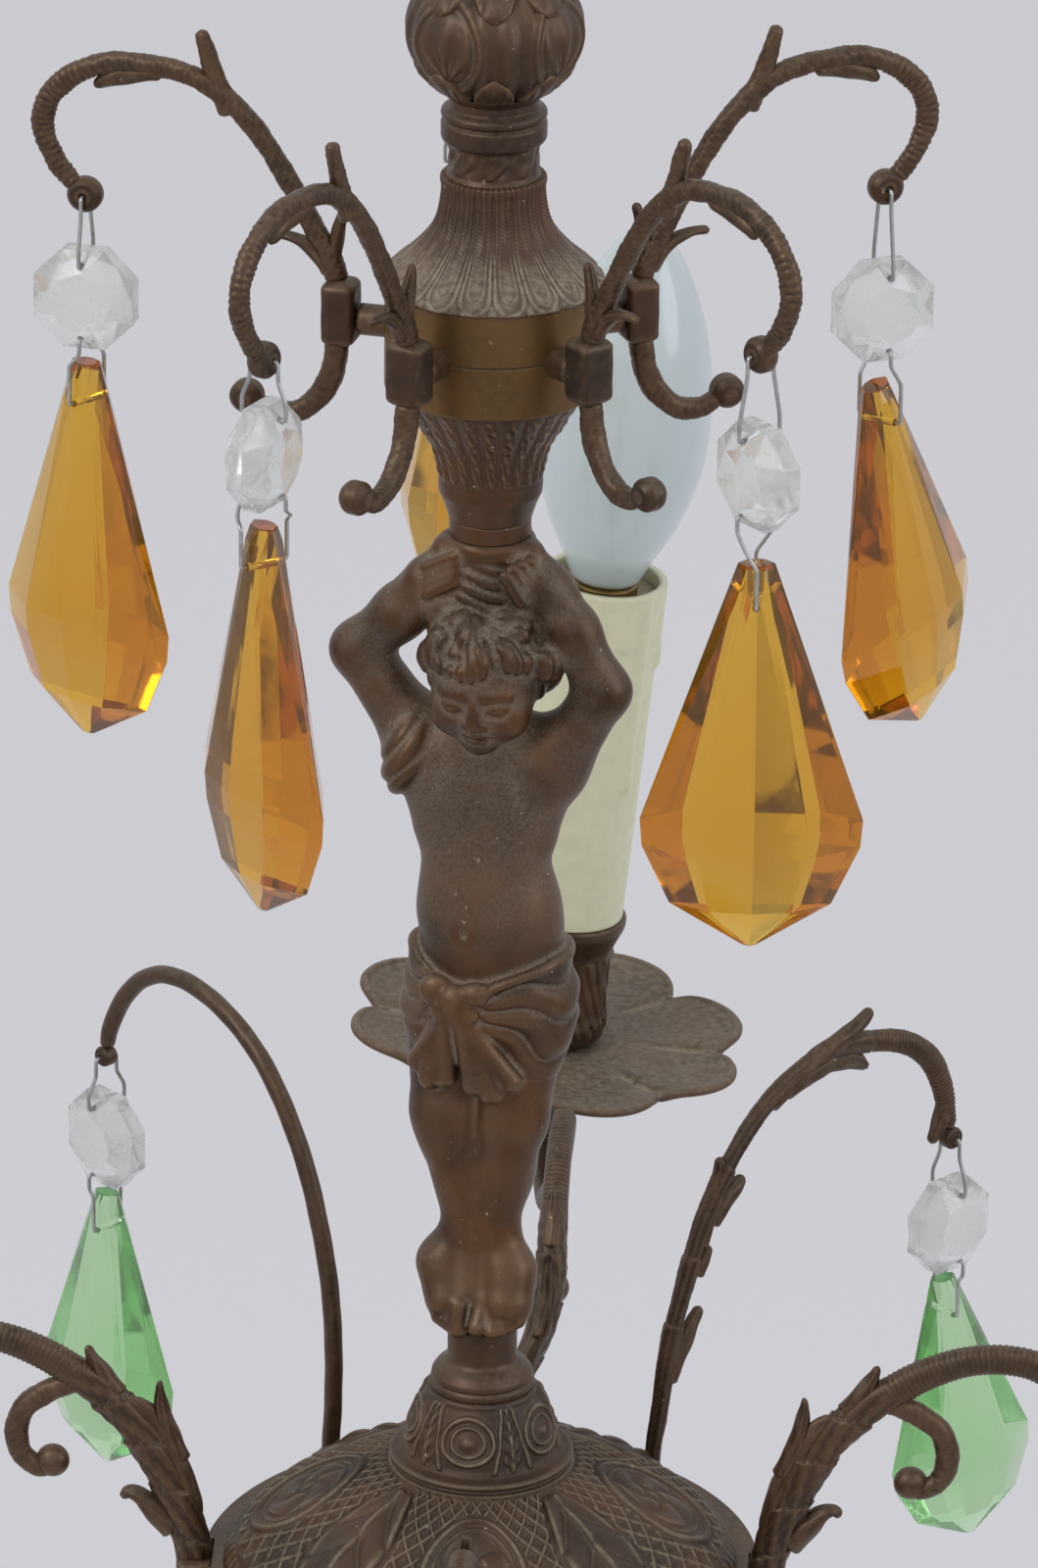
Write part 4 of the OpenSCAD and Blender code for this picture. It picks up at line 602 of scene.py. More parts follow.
def domeRelief(angle, r, z):
    # under each candle arm a round scroll with a raised rim and lobed leaves in it, between the arms a tall leaf
    # with curled lobes on both sides, and a net of diamonds in the fields between them
    turn = wrap((angle + 0.035) * 4) / 4
    side, out = turn * 36, r - 33.5
    away = np.hypot(side, out)
    spoke = np.arctan2(side, out)
    rim = 1.1 * ridge(away, 10.4, 0.8) + 0.5 * ridge(away, 8.6, 0.5)
    lobes = 0.9 * np.abs(np.cos(spoke * 2.5 + away * 0.34)) ** 0.8 * ease(-away, -8.0, -7.2) * ease(away, 1.6, 2.8) + 0.9 * ridge(away, 0, 1.5)
    other = wrap((angle + 0.035) * 4 + math.pi) / 4 * 36
    along = (r - 18.5) / 29
    half = 8.5 * np.sin(np.clip(along * 0.92 + 0.06, 0, 1) * math.pi) ** 0.7 + 0.3
    leafShare = np.abs(other) / half
    curls = 0.85 * np.abs(np.cos(np.abs(other) * 0.42 - along * 10.5)) ** 0.7
    spray = (curls * ease(-leafShare, -1.0, -0.85) + 0.8 * ridge(other, 0, 0.8) - 0.5 * ridge(leafShare, 1.03, 0.07)) * ease(along, 0.02, 0.08)
    net = 0.75 * np.maximum(np.abs(np.cos((side + out) * 0.72)), np.abs(np.cos((side - out) * 0.72))) ** 7
    field = ease(away, 11.4, 12.0) * ease(leafShare, 1.08, 1.16)
    lip = ease(-r, -47.2, -46.2)
    beads = 0.4 * np.abs(np.cos(angle * 55)) * ease(r, 47.4, 47.9) * ease(-r, -49.6, -49.1)
    top = (z > -353.3) & (r > 17.4)
    return np.where(top, ((rim + lobes) * ease(-away, -11.8, -11.0) + spray * (leafShare < 1.1) + net * field - 0.45) * lip
                    * ease(r, 18.0, 19.0) + beads, 0)


def bowlRelief(angle, r, z):
    # gadroons that swell and shrink with the bowl's width
    return np.where((z < -366.4) & (r > 11.5), 0.9 * (np.abs(np.cos(angle * 12)) ** 0.7 - 0.5) * ease(r, 12, 22), 0)


def finialRelief(angle, r, z):
    return np.where((r > 7.4) & (z < -398), 0.5 * (np.abs(np.cos(angle * 5)) - 0.4) * ease(r, 7.4, 10), 0)


def sheetShell(points, wall, fillet=0.6, step=0.45):
    # outline of a spun sheet cover: the outside, then the inside one wall lower
    outer = outline(points, fillet, step)
    inner = outer[::-1] - [wall, wall]
    return np.vstack([[[bore, outer[0, 1]]], outer, inner[inner[:, 0] > bore + 0.5], [[bore, inner[-1, 1]]]])


drumOut, drumIn = 19.9, 18.4
piece("topCap", joined([
    lathe(outline([[bore, -20.5], [9.6, -20.5], [10, -21.5], [7.4, -22.9], [8, -27.7], [9.6, -29.3], [bore, -29.3]], 0.5, 0.4), 160),
    leafShell(-29.3, -35.3)]), bronze, "top_cap")
ballHeights = np.linspace(math.radians(58.4), -math.radians(58.4), 76)
ballLine = np.stack([16.25 * np.cos(ballHeights), column["ballMiddle"] + 16.25 * column["squash"] * np.sin(ballHeights)], 1)
piece("ballShell", lathe(np.vstack([[[bore, ballLine[0, 1]]], ballLine, [[bore, ballLine[-1, 1]]]]), 400, ballRelief), bronze, "ball_shell")
piece("neckCollar", joined([
    lathe(outline([[bore, -51.6], [10.2, -51.6], [8.4, -53.4], [8.4, -55.0], [9.5, -55.7], [9.8, -56.2], [9.8, -56.9], [9.2, -57.3], [9.2, -57.6],
                   [9.8, -58.1], [9.8, -61.0], [9.4, -61.7], [8.2, -62.2], [8.2, -67.6], [8.9, -68.5], [bore, -68.5]], 0.35, 0.3), 240, collarRelief),
    leafShell(-51.6, -45.6)]), bronze, "neck_collar")

bellShares = smoothRoute([[0, 0.03], [0.17, 0.03], [0.39, 0.1], [0.56, 0.26], [0.72, 0.51], [0.86, 0.8], [0.96, 0.97], [1, 1]], 0.02)[1]
bellLine = np.stack([mix(9.2, 20.8, bellShares[:, 1]), -68.5 - bellShares[:, 0] * 20.8], 1)
bellOuter = outline(np.vstack([[[8.9, -68.5], [9.7, -68.7], [9.7, -69.6]], bellLine[bellLine[:, 1] < -70.2]]), 0.3, 0.32)
bellInner = bellOuter[bellOuter[:, 1] < -76][::-1] - [1.6, 0]
piece("bellCover", lathe(np.vstack([[[bore, -68.5]], bellOuter, bellInner, [[bore, -76]]]), 504, bellRelief), bellBronze, "bell_cover",
      extra=lambda p: 0.85 * ease(-p[:, 2], 76, 85.5) * ease(np.hypot(p[:, 0], p[:, 1]), 11, 13) - 0.25)

piece("drumUpper", lathe(outline([[bore, -89.3], [drumOut, -89.3], [drumOut, -99.5], [drumIn, -99.5], [drumIn, -90.8], [bore, -90.8]], 0.45, 0.6), 160),
      drumBrass, "drum_upper", rounds=0)
piece("drumLower", lathe(outline([[bore, -108.2], [drumIn, -108.2], [drumIn, -99.5], [drumOut, -99.5], [drumOut, -109.7], [bore, -109.7]], 0.45, 0.6), 160),
      drumBrass, "drum_lower", rounds=0)
cupShares = smoothRoute([[0, 1], [0.1, 0.92], [0.24, 0.72], [0.41, 0.5], [0.58, 0.25], [0.73, 0.13], [0.9, 0.04], [1, 0]], 0.02)[1]
cupSide = np.stack([mix(9.7, 17.4, cupShares[:, 1]), -109.9 - cupShares[:, 0] * 17.9], 1)
cupRing = [[9.8, -128.4], [9.7, -130.4], [8.7, -132.7], [7.95, -135.0], [7.8, -135.7], [bore, -135.7]]
piece("crownCup", lathe(outline(np.vstack([[[bore, -109.7], [17.2, -109.7]], cupSide, cupRing]), 0.4, 0.28), 432, cupRelief),
      cupBronze, "crown_cup")
piece("figureCollar", lathe(outline([[bore, -135.7], [7.7, -135.7], [7.65, -138.0], [7.7, -139.2], [bore, -139.2]], 0.4, 0.3), 128),
      bronze, "figure_collar")
piece("footPlinth", lathe(outline([[bore, -302.2], [6.7, -302.2], [6.7, -308.9], [7.1, -309.6], [8.8, -310.9], [9.7, -312.2], [9.8, -313.0], [9.6, -313.4],
                                   [10.1, -313.9], [10.1, -315.1], [bore, -315.1]], 0.4, 0.3), 160),
      bronze, "foot_plinth")
piece("shoulderCap", lathe(outline([[bore, -315.1], [10.4, -315.1], [12.5, -319.1], [14.3, -323.6], [15.0, -328.5], [17.5, -329.1], [17.5, -331.1],
                                    [14.5, -331.1], [5.5, -317.3], [bore, -317.3]], 0.6, 0.3), 448, shoulderRelief), domeBronze, "shoulder_cap")
domeShares = smoothRoute([[0, 0], [0.12, 0.2], [0.33, 0.48], [0.62, 0.78], [0.84, 0.93], [1, 1]], 0.014)[1]
domeLine = np.stack([mix(17.5, 50, domeShares[:, 1]), -331.1 - domeShares[:, 0] * 22.5], 1)
piece("bodyDome", lathe(sheetShell(domeLine, 1.6, 0.3, 0.42), 620, domeRelief), domeBronze, "body_dome")
bowlLine = [[51, -362.6], [51, -364.6], [47, -366.6], [42.2, -372.7], [31, -380.5], [18.2, -386.7], [11, -390.6]]
bowlInside = [[11, -387], [17.4, -383.6], [29, -379], [40.2, -371.7], [48, -365.6], [48, -362.6]]
piece("bodyBowl", lathe(outline([[48, -362.6], *bowlLine, [bore, -390.6], [bore, -387.4], *bowlInside], 2.0, 0.7), 480, bowlRelief), bronze, "body_bowl")
piece("bottomFinial", lathe(outline([[bore, -390.6], [12, -390.6], [12, -392.2], [8, -394.6], [7, -397.6], [9.5, -401.6], [11.5, -405.6], [10.5, -409.6],
                                     [6.5, -414.4], [2.6, -418.5], [3.4, -421.2], [2.2, -423.6], [0.05, -424.6], [0.05, -404.9], [bore, -404.9]], 0.9, 0.4), 160, finialRelief),
      bronze, "bottom_finial")
print("column made")

# Crown arms: radius and height from the block's face and from its top or foot

crownAngles = [165.6, 239.0, 308.0, 21.2, 93.6]
block = {"radius": 32.2, "top": -91.7, "foot": -104.9, "width": 7.5, "depth": 6.5}
outerArch = [
    [-2.7, -1, 2.2, 2.1], [-1.2, 3.8, 2.0, 2.0], [2.3, 9.8, 1.8, 1.9], [6.8, 17.8, 1.8, 1.9], [12.8, 26.8, 1.8, 1.9], [18.8, 32.8, 1.8, 2],
    [24.8, 36.3, 1.7, 2], [32.8, 37.8, 1.7, 1.9], [40.8, 37.6, 1.7, 2], [47.8, 34.8, 1.7, 2.1], [52.8, 29.8, 1.7, 2.2], [54.1, 23.8, 1.7, 2.1],
    [51.8, 17.8, 1.6, 1.9], [49.4, 14.6, 1.6, 1.8], [47.6, 12.8, 1.5, 1.6]]
scroll = [[-2.7, 1, 2, 2.2], [-1.7, -5.5, 2, 2.3], [0.8, -10.5, 1.9, 2.2], [4.8, -14, 1.9, 2.1], [9.3, -14.7, 1.9, 1.9], [13.2, -13.0, 1.9, 1.6]]
spike = [[17.6, 29.6, 1.6, 2.4], [20.8, 36.5, 1.5, 1.9], [22.6, 42, 1.4, 1.6], [23.7, 45.6, 1.2, 1.3]]
tuck = [[31, 36.8, 1.5, 1.6], [37.5, 35.8, 1.5, 2.0], [41.6, 34.4, 1.3, 1.6], [44.2, 32.6, 0.7, 0.6]]
sprout = [[-1.5, 0.5, 1.6, 1.6], [2.2, 5.0, 1.5, 1.3], [6.4, 7.0, 1.3, 0.9], [10.8, 7.2, 0.7, 0.6]]
innerLeaf = [[-1.6, 1.0, 1.6, 1.5], [-2.2, 6.0, 1.5, 1.3], [-3.0, 10.4, 1.2, 1.1], [-4.2, 14.2, 0.7, 0.7]]


def rough(s, angle):
    # uneven cast skin: waves that wander round the bar
    return (0.07 * np.cos(angle * 2 + s * 0.6) + 0.05 * np.cos(angle * 3 - s * 1.3 + np.cos(s * 0.31)) + 0.035 * np.cos(angle * 5 + s * 3.3)
            + 0.025 * np.cos(angle * 2 - s * 6.1))


def horn(start, pitch, height):
    # fine uneven rings across the bar from the given length on, over the rough skin
    def relief(s, angle):
        rings = height * np.cos(s * tau / pitch + 0.9 * np.cos(angle + s * 0.2)) * ease(s, start, start + 4)
        return rings * (0.7 + 0.3 * np.cos(angle * 2 + s)) + rough(s, angle)
    return relief


def veined(s, angle):
    # ribs that run along a leaf and lean a little
    return 0.16 * np.cos(angle * 7 + s * 0.3) + 0.08 * np.cos(angle * 2 - s * 0.9)


for k, angle in enumerate(crownAngles):
    r = block["radius"]
    blockBar = [[r - block["depth"] / 2, z, block["width"] / 2, block["depth"] / 2] for z in (block["foot"], -100, -96, block["top"])]
    parts = [
        bar(blockBar, 0.3, 48, lambda s, a: 0.03 * np.cos(a * 5 + s), power=5, blunt=1.9),
        bar([[13.6, -99.5, 3, 3], [18, -99.5, 3, 3], [22, -99.5, 3, 3], [26, -99.5, 3, 3]], 0.8, 24, blunt=0.2),
        bar(shifted(outerArch, r, block["top"]), 0.27, 26, horn(66, 1.3, 0.1), power=2.3, blunt=1.2),
        bar(shifted(scroll, r, block["foot"]), 0.35, 24, horn(90, 2.6, 0.2), power=2.5, blunt=1.0),
        bar(shifted(spike, r, block["top"]), 0.35, 18, rough, blunt=1.2),
        bar(shifted(tuck, r, block["top"]), 0.35, 18, veined, blunt=1.2),
        bar(shifted(sprout, r, block["top"]), 0.35, 18, veined, blunt=1.2),
        bar(shifted(innerLeaf, r, block["top"]), 0.35, 18, veined, blunt=1.2),
        disc(r + 14.8, block["foot"] - 12, 3.2, 2.5, button=0.2, edge=1.1),
        disc(r + 46, block["top"] + 11.4, 3.4, 2.1, hole=0.7, edge=1.0)]
    piece(f"crownArm{k + 1}", turnedBy(joined(parts), angle), armBronze, f"crown_arm_{k + 1}", rounds=8)
print("crown arms made")

# Prism arms: radius from the arm's root and height from the hub's top

hubTop = -353.6
prismAngles = [133, 43]
prismRoots = [43.6, 45.8]
rodRoute = [
    [0, -4.7, 1.8, 1.8], [0, 8, 1.8, 1.8], [-0.6, 16, 1.8, 1.8], [-0.8, 29, 1.8, 1.8], [0.3, 42, 1.8, 1.8], [3.1, 54, 1.8, 1.8],
    [7.4, 66, 1.8, 1.8], [13.8, 77, 1.8, 1.8], [21.2, 85.3, 1.8, 1.8], [30.4, 91, 1.8, 1.8], [40.4, 93.8, 1.8, 1.8], [49.4, 93.3, 1.8, 1.8],
    [56.8, 89.4, 1.8, 1.8], [62.4, 83, 1.8, 1.8], [65.9, 76, 1.7, 1.7], [66.9, 72.0, 1.5, 1.4]]
vineRoute = [
    [0, -4.7, 1.8, 1.8], [0, 3, 1.8, 1.8], [0.3, 9, 1.8, 1.8], [1.7, 16, 1.9, 2], [4.2, 30, 1.9, 2.1], [8.2, 42.4, 1.9, 2], [12.8, 54.4, 1.9, 2],
    [19.6, 64.8, 1.9, 2], [27.8, 73.2, 1.9, 2], [36.9, 78.3, 1.8, 2], [46.8, 80.4, 1.8, 2.1], [56.8, 79.6, 1.8, 2.2], [67, 76.5, 1.8, 2.3],
    [74.5, 70.8, 1.8, 2.4], [78.4, 63.5, 1.8, 2.3], [79.9, 57.2, 1.6, 1.9], [80.8, 53.8, 1.4, 1.4]]
thorns = [
    [[3.6, 22, 1.7, 2.0], [7.4, 29, 1.7, 2.0], [10.2, 33.2, 1.4, 1.5], [12.4, 36.0, 0.8, 0.8]],
    [[11.6, 49, 1.7, 2.0], [15.4, 58.6, 1.7, 2.0], [17.2, 63.4, 1.4, 1.5], [17.0, 66.8, 0.9, 0.8]],
    [[10.6, 43, 1.6, 2.0], [13.2, 46.6, 1.4, 1.4], [14.8, 48.4, 0.8, 0.7]],
    [[14.6, 53, 1.7, 2.0], [20.4, 58.6, 1.6, 1.8], [23.6, 60.8, 0.9, 0.9]],
    [[30.0, 74.0, 1.8, 2.0], [42.0, 79.6, 1.9, 2.3], [50.0, 82.0, 1.8, 2.1], [55.2, 84.4, 1.4, 1.4], [57.8, 86.6, 0.8, 0.7]],
    [[34.0, 75.6, 1.8, 2.0], [46.0, 78.4, 1.8, 2.4], [53.4, 76.6, 1.6, 1.8], [57.0, 74.2, 0.9, 0.8]],
    [[79.4, 61.0, 1.5, 1.8], [78.4, 56.4, 1.5, 1.9], [76.4, 53.0, 1.2, 1.2], [75.6, 51.6, 0.8, 0.8]]]
rod = joined([bar(shifted(rodRoute, prismRoots[0], hubTop), 0.6, 28, lambda s, a: 0.03 * np.cos(a * 3 + s * 0.7)),
              disc(prismRoots[0] + 67.2, hubTop + 69.8, 2.1, 1.6, hole=0.7, edge=0.5)])
piece("prismArmLeft", turnedBy(rod, prismAngles[0]), armBronze, "prism_arm_left", rounds=8)


def leafyVine(s, angle):
    # sheath leaves that swell up to their ends and drop back there, veins along them, fine rings beyond the last
    push = 0.1 * np.cos(angle * 8 + s * 0.12) * ease(-s, -118, -114) + rough(s, angle) * 0.5
    for end, length, height in ((39, 22, 0.3), (53, 12, 0.3), (72, 18, 0.35), (116, 42, 0.3)):
        share = np.clip((s - end + length) / length, 0, 1)
        push = push + height * share ** 1.4 * ease(-s, -end - 0.8, -end)
    return push + 0.13 * np.cos(s * tau / 1.0 + 0.4 * np.cos(angle)) * ease(s, 116, 118) - 0.25 * ease(-s, -118, -114)


vine = joined([bar(shifted(vineRoute, prismRoots[1], hubTop), 0.27, 30, leafyVine, blunt=1.0),
               *[bar(shifted(thorn, prismRoots[1], hubTop), 0.35, 20, veined, blunt=1.0) for thorn in thorns],
               disc(prismRoots[1] + 81.2, hubTop + 51.4, 2.3, 1.6, hole=0.7, edge=0.5)])
piece("prismArmRight", turnedBy(vine, prismAngles[1]), armBronze, "prism_arm_right", rounds=8)

# Candle arms: inner stretch from the hub's pad, outer stretch from the candle's seat

padRadius, hubMiddle, lampRadius, seatHeight = 52.0, -358.1, 173.0, -320.6
lampAngles = [178, -2, 268, 86]
lampNames = ["left", "right", "front", "rear"]
lean = [0, 0, 0, 6]
sideways = [0, 0, 0, -8.4]
candles = [True, True, False, True]
innerArm = [
    [4, -2.5, 3, 3.3], [3.8, 2.5, 3, 3.4], [4.1, 7.5, 3, 3.5], [6.6, 15.1, 3, 3.6], [10, 23.1, 3, 3.6], [14.5, 31.1, 3, 3.5],
    [20, 37.6, 2.9, 3.4], [26, 42.4, 2.8, 3.3], [33, 46.8, 2.7, 3.2], [41, 49.9, 2.6, 3], [49, 50.5, 2.5, 3], [56, 48.6, 2.5, 3]]
outerArm = [
    [-56, 4.6, 2.5, 3], [-46, -6.4, 2.5, 3], [-35, -18.4, 2.5, 3], [-23, -25.4, 2.5, 3], [-11, -22.4, 2.5, 3], [-3, -13.4, 2.6, 3],
    [0, -5.4, 2.8, 3], [0, -2, 2.8, 2.8]]
curl = [[23, 41.2, 2, 2.2], [27, 40.6, 2, 2.3], [32, 38.4, 2, 2.3], [36.5, 34.8, 2, 2.3], [38, 29.5, 2, 2.3], [36.8, 24.7, 2, 2.2],
        [33.5, 22.3, 2, 2.0], [31.4, 22.8, 2, 1.8]]
lampLeaves = [
    [[3.4, 8, 1.8, 1.6], [4.8, 17, 2.0, 2.4], [8.8, 26, 1.9, 3.2], [13.4, 33, 1.7, 3.6], [16.8, 36.6, 1.2, 2.4]],
    [[5.8, 24, 1.8, 1.8], [8.6, 31, 1.7, 1.8], [9.8, 36, 1.4, 1.4], [10.2, 39.4, 0.9, 0.8], [10.0, 41.4, 0.6, 0.5]],
    [[18.6, 37.6, 2.2, 2.8], [21.4, 42.4, 1.9, 2.1], [23.2, 46, 1.2, 1.2], [24.2, 48.6, 0.7, 0.6]],
    [[7, 9.5, 2.6, 3.0], [11.2, 13.6, 2.4, 2.4], [14.2, 16.6, 2.0, 1.6], [16.4, 17.2, 1.4, 1.1], [17.6, 15.8, 0.9, 0.8]]]


def acanthus(s, angle):
    # up to the curl leaf ribs wind round the bar in overlapping lobes, beyond it fine rings cross it
    turn = ((s + 2.2 * np.cos(angle)) / 11) % 1
    leafy = ease(-s, -56, -48)
    wound = 0.42 * (turn ** 1.4 - 0.45) + 0.16 * np.cos(angle * 8 - s * 0.5) + 0.1 * np.cos(angle * 17 - s * 0.9)
    ringed = 0.13 * np.cos(s * tau / 1.05 + 0.5 * np.cos(angle)) * (0.65 + 0.35 * np.cos(angle * 2)) - 0.1
    return wound * leafy * ease(s, 3, 8) + ringed * (1 - leafy) * ease(-s, -174, -170)


def bowShare(r, z):
    # how much of the sideways bow a point of the rear arm has, from the pad's face and the hub's middle
    return ease(np.maximum((z - 5) / 26, (r - 12) / 8), 0, 1) * ease((lampRadius - padRadius - r) / 70, 0, 1)


def bowed(route, amount):
    return [[*p, amount * float(bowShare(p[0] - padRadius, p[1] - hubMiddle))] for p in route]


def atSeat(k):
    return (Matrix.Rotation(math.radians(lampAngles[k]), 4, "Z") @ Matrix.Translation((lampRadius, 0, seatHeight))
            @ Matrix.Rotation(math.radians(lean[k]), 4, "X"))


seatLine = outline([[4.9, 0], [8.1, 0], [8.5, -0.5], [8.5, -1.4], [7.4, -2.2], [4.4, -3], [0.05, -3], [0.05, -2.5], [4.9, -2.5]], 0.4, 0.4)
for k, name in enumerate(lampNames):
    route = shifted(innerArm, padRadius, hubMiddle) + shifted(outerArm, lampRadius, seatHeight)
    foot = [[padRadius + 3.25, z, 5, 3.2] for z in (-362.5, -359, -356, -353.7)]
    arm = joined([
        bar(bowed(route, sideways[k]), 0.28, 34, acanthus, power=2.3, blunt=1.0),
        bar(bowed(shifted(curl, padRadius, hubMiddle), sideways[k]), 0.3, 24, horn(90, 2.0, 0.2), blunt=1.0),
        *[bar(bowed(shifted(leaf, padRadius, hubMiddle), sideways[k]), 0.35, 22, veined, blunt=1.2) for leaf in lampLeaves],
        moved(disc(padRadius + 31, hubMiddle + 23.7, 3.3, 2.9, edge=0), Matrix.Translation((0, sideways[k], 0))),
        bar(foot, 0.4, 40, power=8, blunt=0.9)])
    seat = moved(lathe(seatLine, 96), atSeat(k))
    piece("lampArm" + name.title(), joined([turnedBy(arm, lampAngles[k]), seat]), armBronze, "lamp_arm_" + name, rounds=8)
print("lamp arms made")

# Drip trays: radius is a share of the petalled rim, so the creases run in towards the middle

tray = {"radius": 42.5, "petals": 8, "petalRadius": 14.0, "wall": 1.4, "edgeLift": 0.5, "rise": 2.8}


def trayPart():
    count = 288
    angle = np.arange(count) * tau / count
    centre = tray["radius"] - tray["petalRadius"]
    local = wrap((angle - tau / tray["petals"] / 2) * tray["petals"]) / tray["petals"]
    rim = centre * np.cos(local) + np.sqrt(tray["petalRadius"] ** 2 - (centre * np.sin(local)) ** 2)
    share = np.concatenate([np.linspace(5.1 / 42.5, 0.9, 44), np.linspace(0.91, 1, 10)])[:, None]
    r = share * mix(tray["radius"], rim[None, :], ease(share, 0.25, 0.8))
    lower = np.interp(r, [0, 12, 26.4, 36.6, 43.5], np.array([0, 0, 0.2, 0.53, 1]) * tray["rise"])
    crease = ridge(np.abs(local)[None, :] * 8 / math.pi, 1, 0.16) * ease(share, 0.35, 0.8)
    dish = 0.5 * np.cos(np.abs(local)[None, :] * 8) * ease(share, 0.3, 0.7)
    edge = tray["edgeLift"] * ridge(share, 0.965, 0.02)
    rings = 0.25 * ridge(share, 0.34, 0.012) + 0.2 * ridge(share, 0.42, 0.01)
    bend = -1.2 * crease - dish * 0.6
    upper = lower + tray["wall"] + bend + edge + rings
    lower = lower + bend
    lower[share[:, 0] < 0.3] = np.maximum(lower[share[:, 0] < 0.3], 0)
    upper[-1] -= 0.5
    lower[-1] += 0.3
    out = np.stack([r * np.cos(angle), r * np.sin(angle), upper], 2)
    under = np.stack([r * np.cos(angle), r * np.sin(angle), lower], 2)[::-1]
    return skin(np.vstack([out, under]), closedRows=True)


def holderRelief(angle, r, z):
    # upright leaves on the cup's wall
    return np.where((r > 10.4) & (z > 5) & (z < 22), 0.22 * np.cos(angle * 14) + 0.12 * np.cos(angle * 28 + z), 0)


cupLine = outline([[5.1, 1.4], [9.3, 1.4], [11.5, 3.0], [11.9, 6.4], [11.2, 9], [10.9, 16], [11.5, 23.4], [12.3, 25.4], [13.4, 28.0], [13.4, 30.0],
                   [5.1, 30.0], [5.1, 28.8], [10.0, 28.8], [9.4, 16], [10.0, 2.6], [5.1, 2.6]], 0.7, 0.45)


def sleeveRelief(angle, r, z):
    # wax runs: each starts at the rim, is thickest just above its rounded end, and stops at its own height
    push = np.zeros(np.broadcast(angle, z).shape)
    for at, end, width, thick in waxRuns:
        side = wrap(angle - at) * 12.5
        run = ridge(side, 0, width) * ease(z, end, end + 2.2)
        push = np.maximum(push, thick * run * (0.75 + 0.5 * ridge(z, end + 3, 3.2)))
    rimWax = 0.35 * ease(z, 101.5, 103.5)
    return np.where(r > 12.2, np.maximum(push, rimWax), 0)


waxRuns = [[-1.9, 78, 1.5, 0.9], [-1.45, 92, 1.8, 0.7], [-1.05, 60, 1.3, 0.9], [-0.5, 86, 1.6, 0.8], [0.2, 70, 1.5, 0.9], [0.8, 94, 2.0, 0.7],
           [1.5, 66, 1.4, 0.9], [2.1, 88, 1.7, 0.8], [2.7, 74, 1.4, 0.9], [-2.6, 90, 1.9, 0.7]]
sleeveLine = outline([[12.5, 105], [12.5, 30], [11.3, 30], [11.3, 105]], 0.5, 0.6)
bulbShares = smoothRoute([[0.42, 0], [0.52, 0.05], [0.78, 0.17], [0.95, 0.3], [1, 0.42], [0.97, 0.54], [0.86, 0.68], [0.64, 0.82], [0.4, 0.92],
                          [0.18, 0.98], [0.01, 1]], 0.02)[1]
bulbLine = np.stack([np.maximum(bulbShares[:, 0] * 17.5, 0.05), 105.4 + bulbShares[:, 1] * 77], 1)[::-1]
bulbInner = bulbLine[::-1] - [1, 0]
bulbInner = bulbInner[bulbInner[:, 0] > 2]
capLine = [[6.2, 104.4], [6.95, 103.8], [6.95, 101.4]]
capLine += [[6.95 - 0.45 * (j % 2), 100.6 - 0.85 * j] for j in range(17)]
capLine += [[6.4, 85.6], [3.2, 81.2], [2.6, 80.4], [0.05, 80.2], [0.05, 104.4]]

piece("dripTrays", joined([moved(trayPart(), atSeat(k)) for k in range(4)]), dustyBronze, "drip_trays", rounds=8)
piece("holderCups", joined([moved(lathe(cupLine, 224, holderRelief), atSeat(k)) for k in range(4)]), bronze, "holder_cups", rounds=8)
piece("candleSleeves", joined([moved(turnedBy(lathe(sleeveLine, 144, sleeveRelief), 97 * k), atSeat(k)) for k in range(4) if candles[k]]),
      ivory, "candle_sleeves", rounds=0)
for k, name in enumerate(lampNames):
    if candles[k]:
        place = atSeat(k)
        glassLine = np.vstack([bulbLine, [[6.6, 104.6], [5.6, 104.6]], bulbInner, [[0.05, bulbInner[-1, 1] + 0.2]]])
        piece("bulbGlass" + name.title(), moved(lathe(glassLine, 96), place), opalGlass, "bulb_" + name, "bulb_" + name, rounds=0)
        piece("bulbCap" + name.title(), moved(lathe(outline(capLine, 0.2, 0.35), 72), place), bareBrass, None, "bulb_" + name, rounds=0)
print("lamps made")

# Pendants: a wire through the arm's disc and the bead, and a second one through the bead and the prism

beadShape = {"height": 19.5, "table": 9.0, "edge": 3.4, "inset": 2.6}
amberShape = {"height": 75.0, "width": 41.0, "thick": 15.0}
greenShape = {"height": 60.0, "width": 33.0, "thick": 13.0}
holeInset, wireRadius, holeRadius = 7.5, 0.4, 0.7
girths = [[0, 0.17, 0.3], [0.035, 0.2, 0.42], [0.67, 1, 1], [0.74, 0.98, 0.95], [0.89, 0.73, 0.7], [1, 0.07, 0.12]]
drops = [
    {"arm": crownAngles[k], "r": 78.2, "z": -80.3, "disc": 4.2, "wire": wire, "gap": gap, "face": face, "tilt": tilt, "shape": amberShape}
    for k, (wire, gap, face, tilt) in enumerate([(10.5, 3.1, -130, 0), (8.3, 3.7, -147, 0), (13.2, 7.2, -90, 0), (14.5, 4.7, -38, 13), (11, 4, -140, 0)])]
drops += [{"arm": 133, "r": 110.8, "z": -284.0, "disc": 3.6, "wire": 7.9, "gap": 2.1, "face": -125, "tilt": 0, "shape": greenShape},
          {"arm": 43, "r": 127.0, "z": -302.2, "disc": 3.6, "wire": 9.3, "gap": 1.8, "face": -60, "tilt": 8, "shape": greenShape}]


def beadThick(inset):
    return mix(beadShape["edge"], beadShape["table"], min(1, inset / (beadShape["height"] * 0.24)))


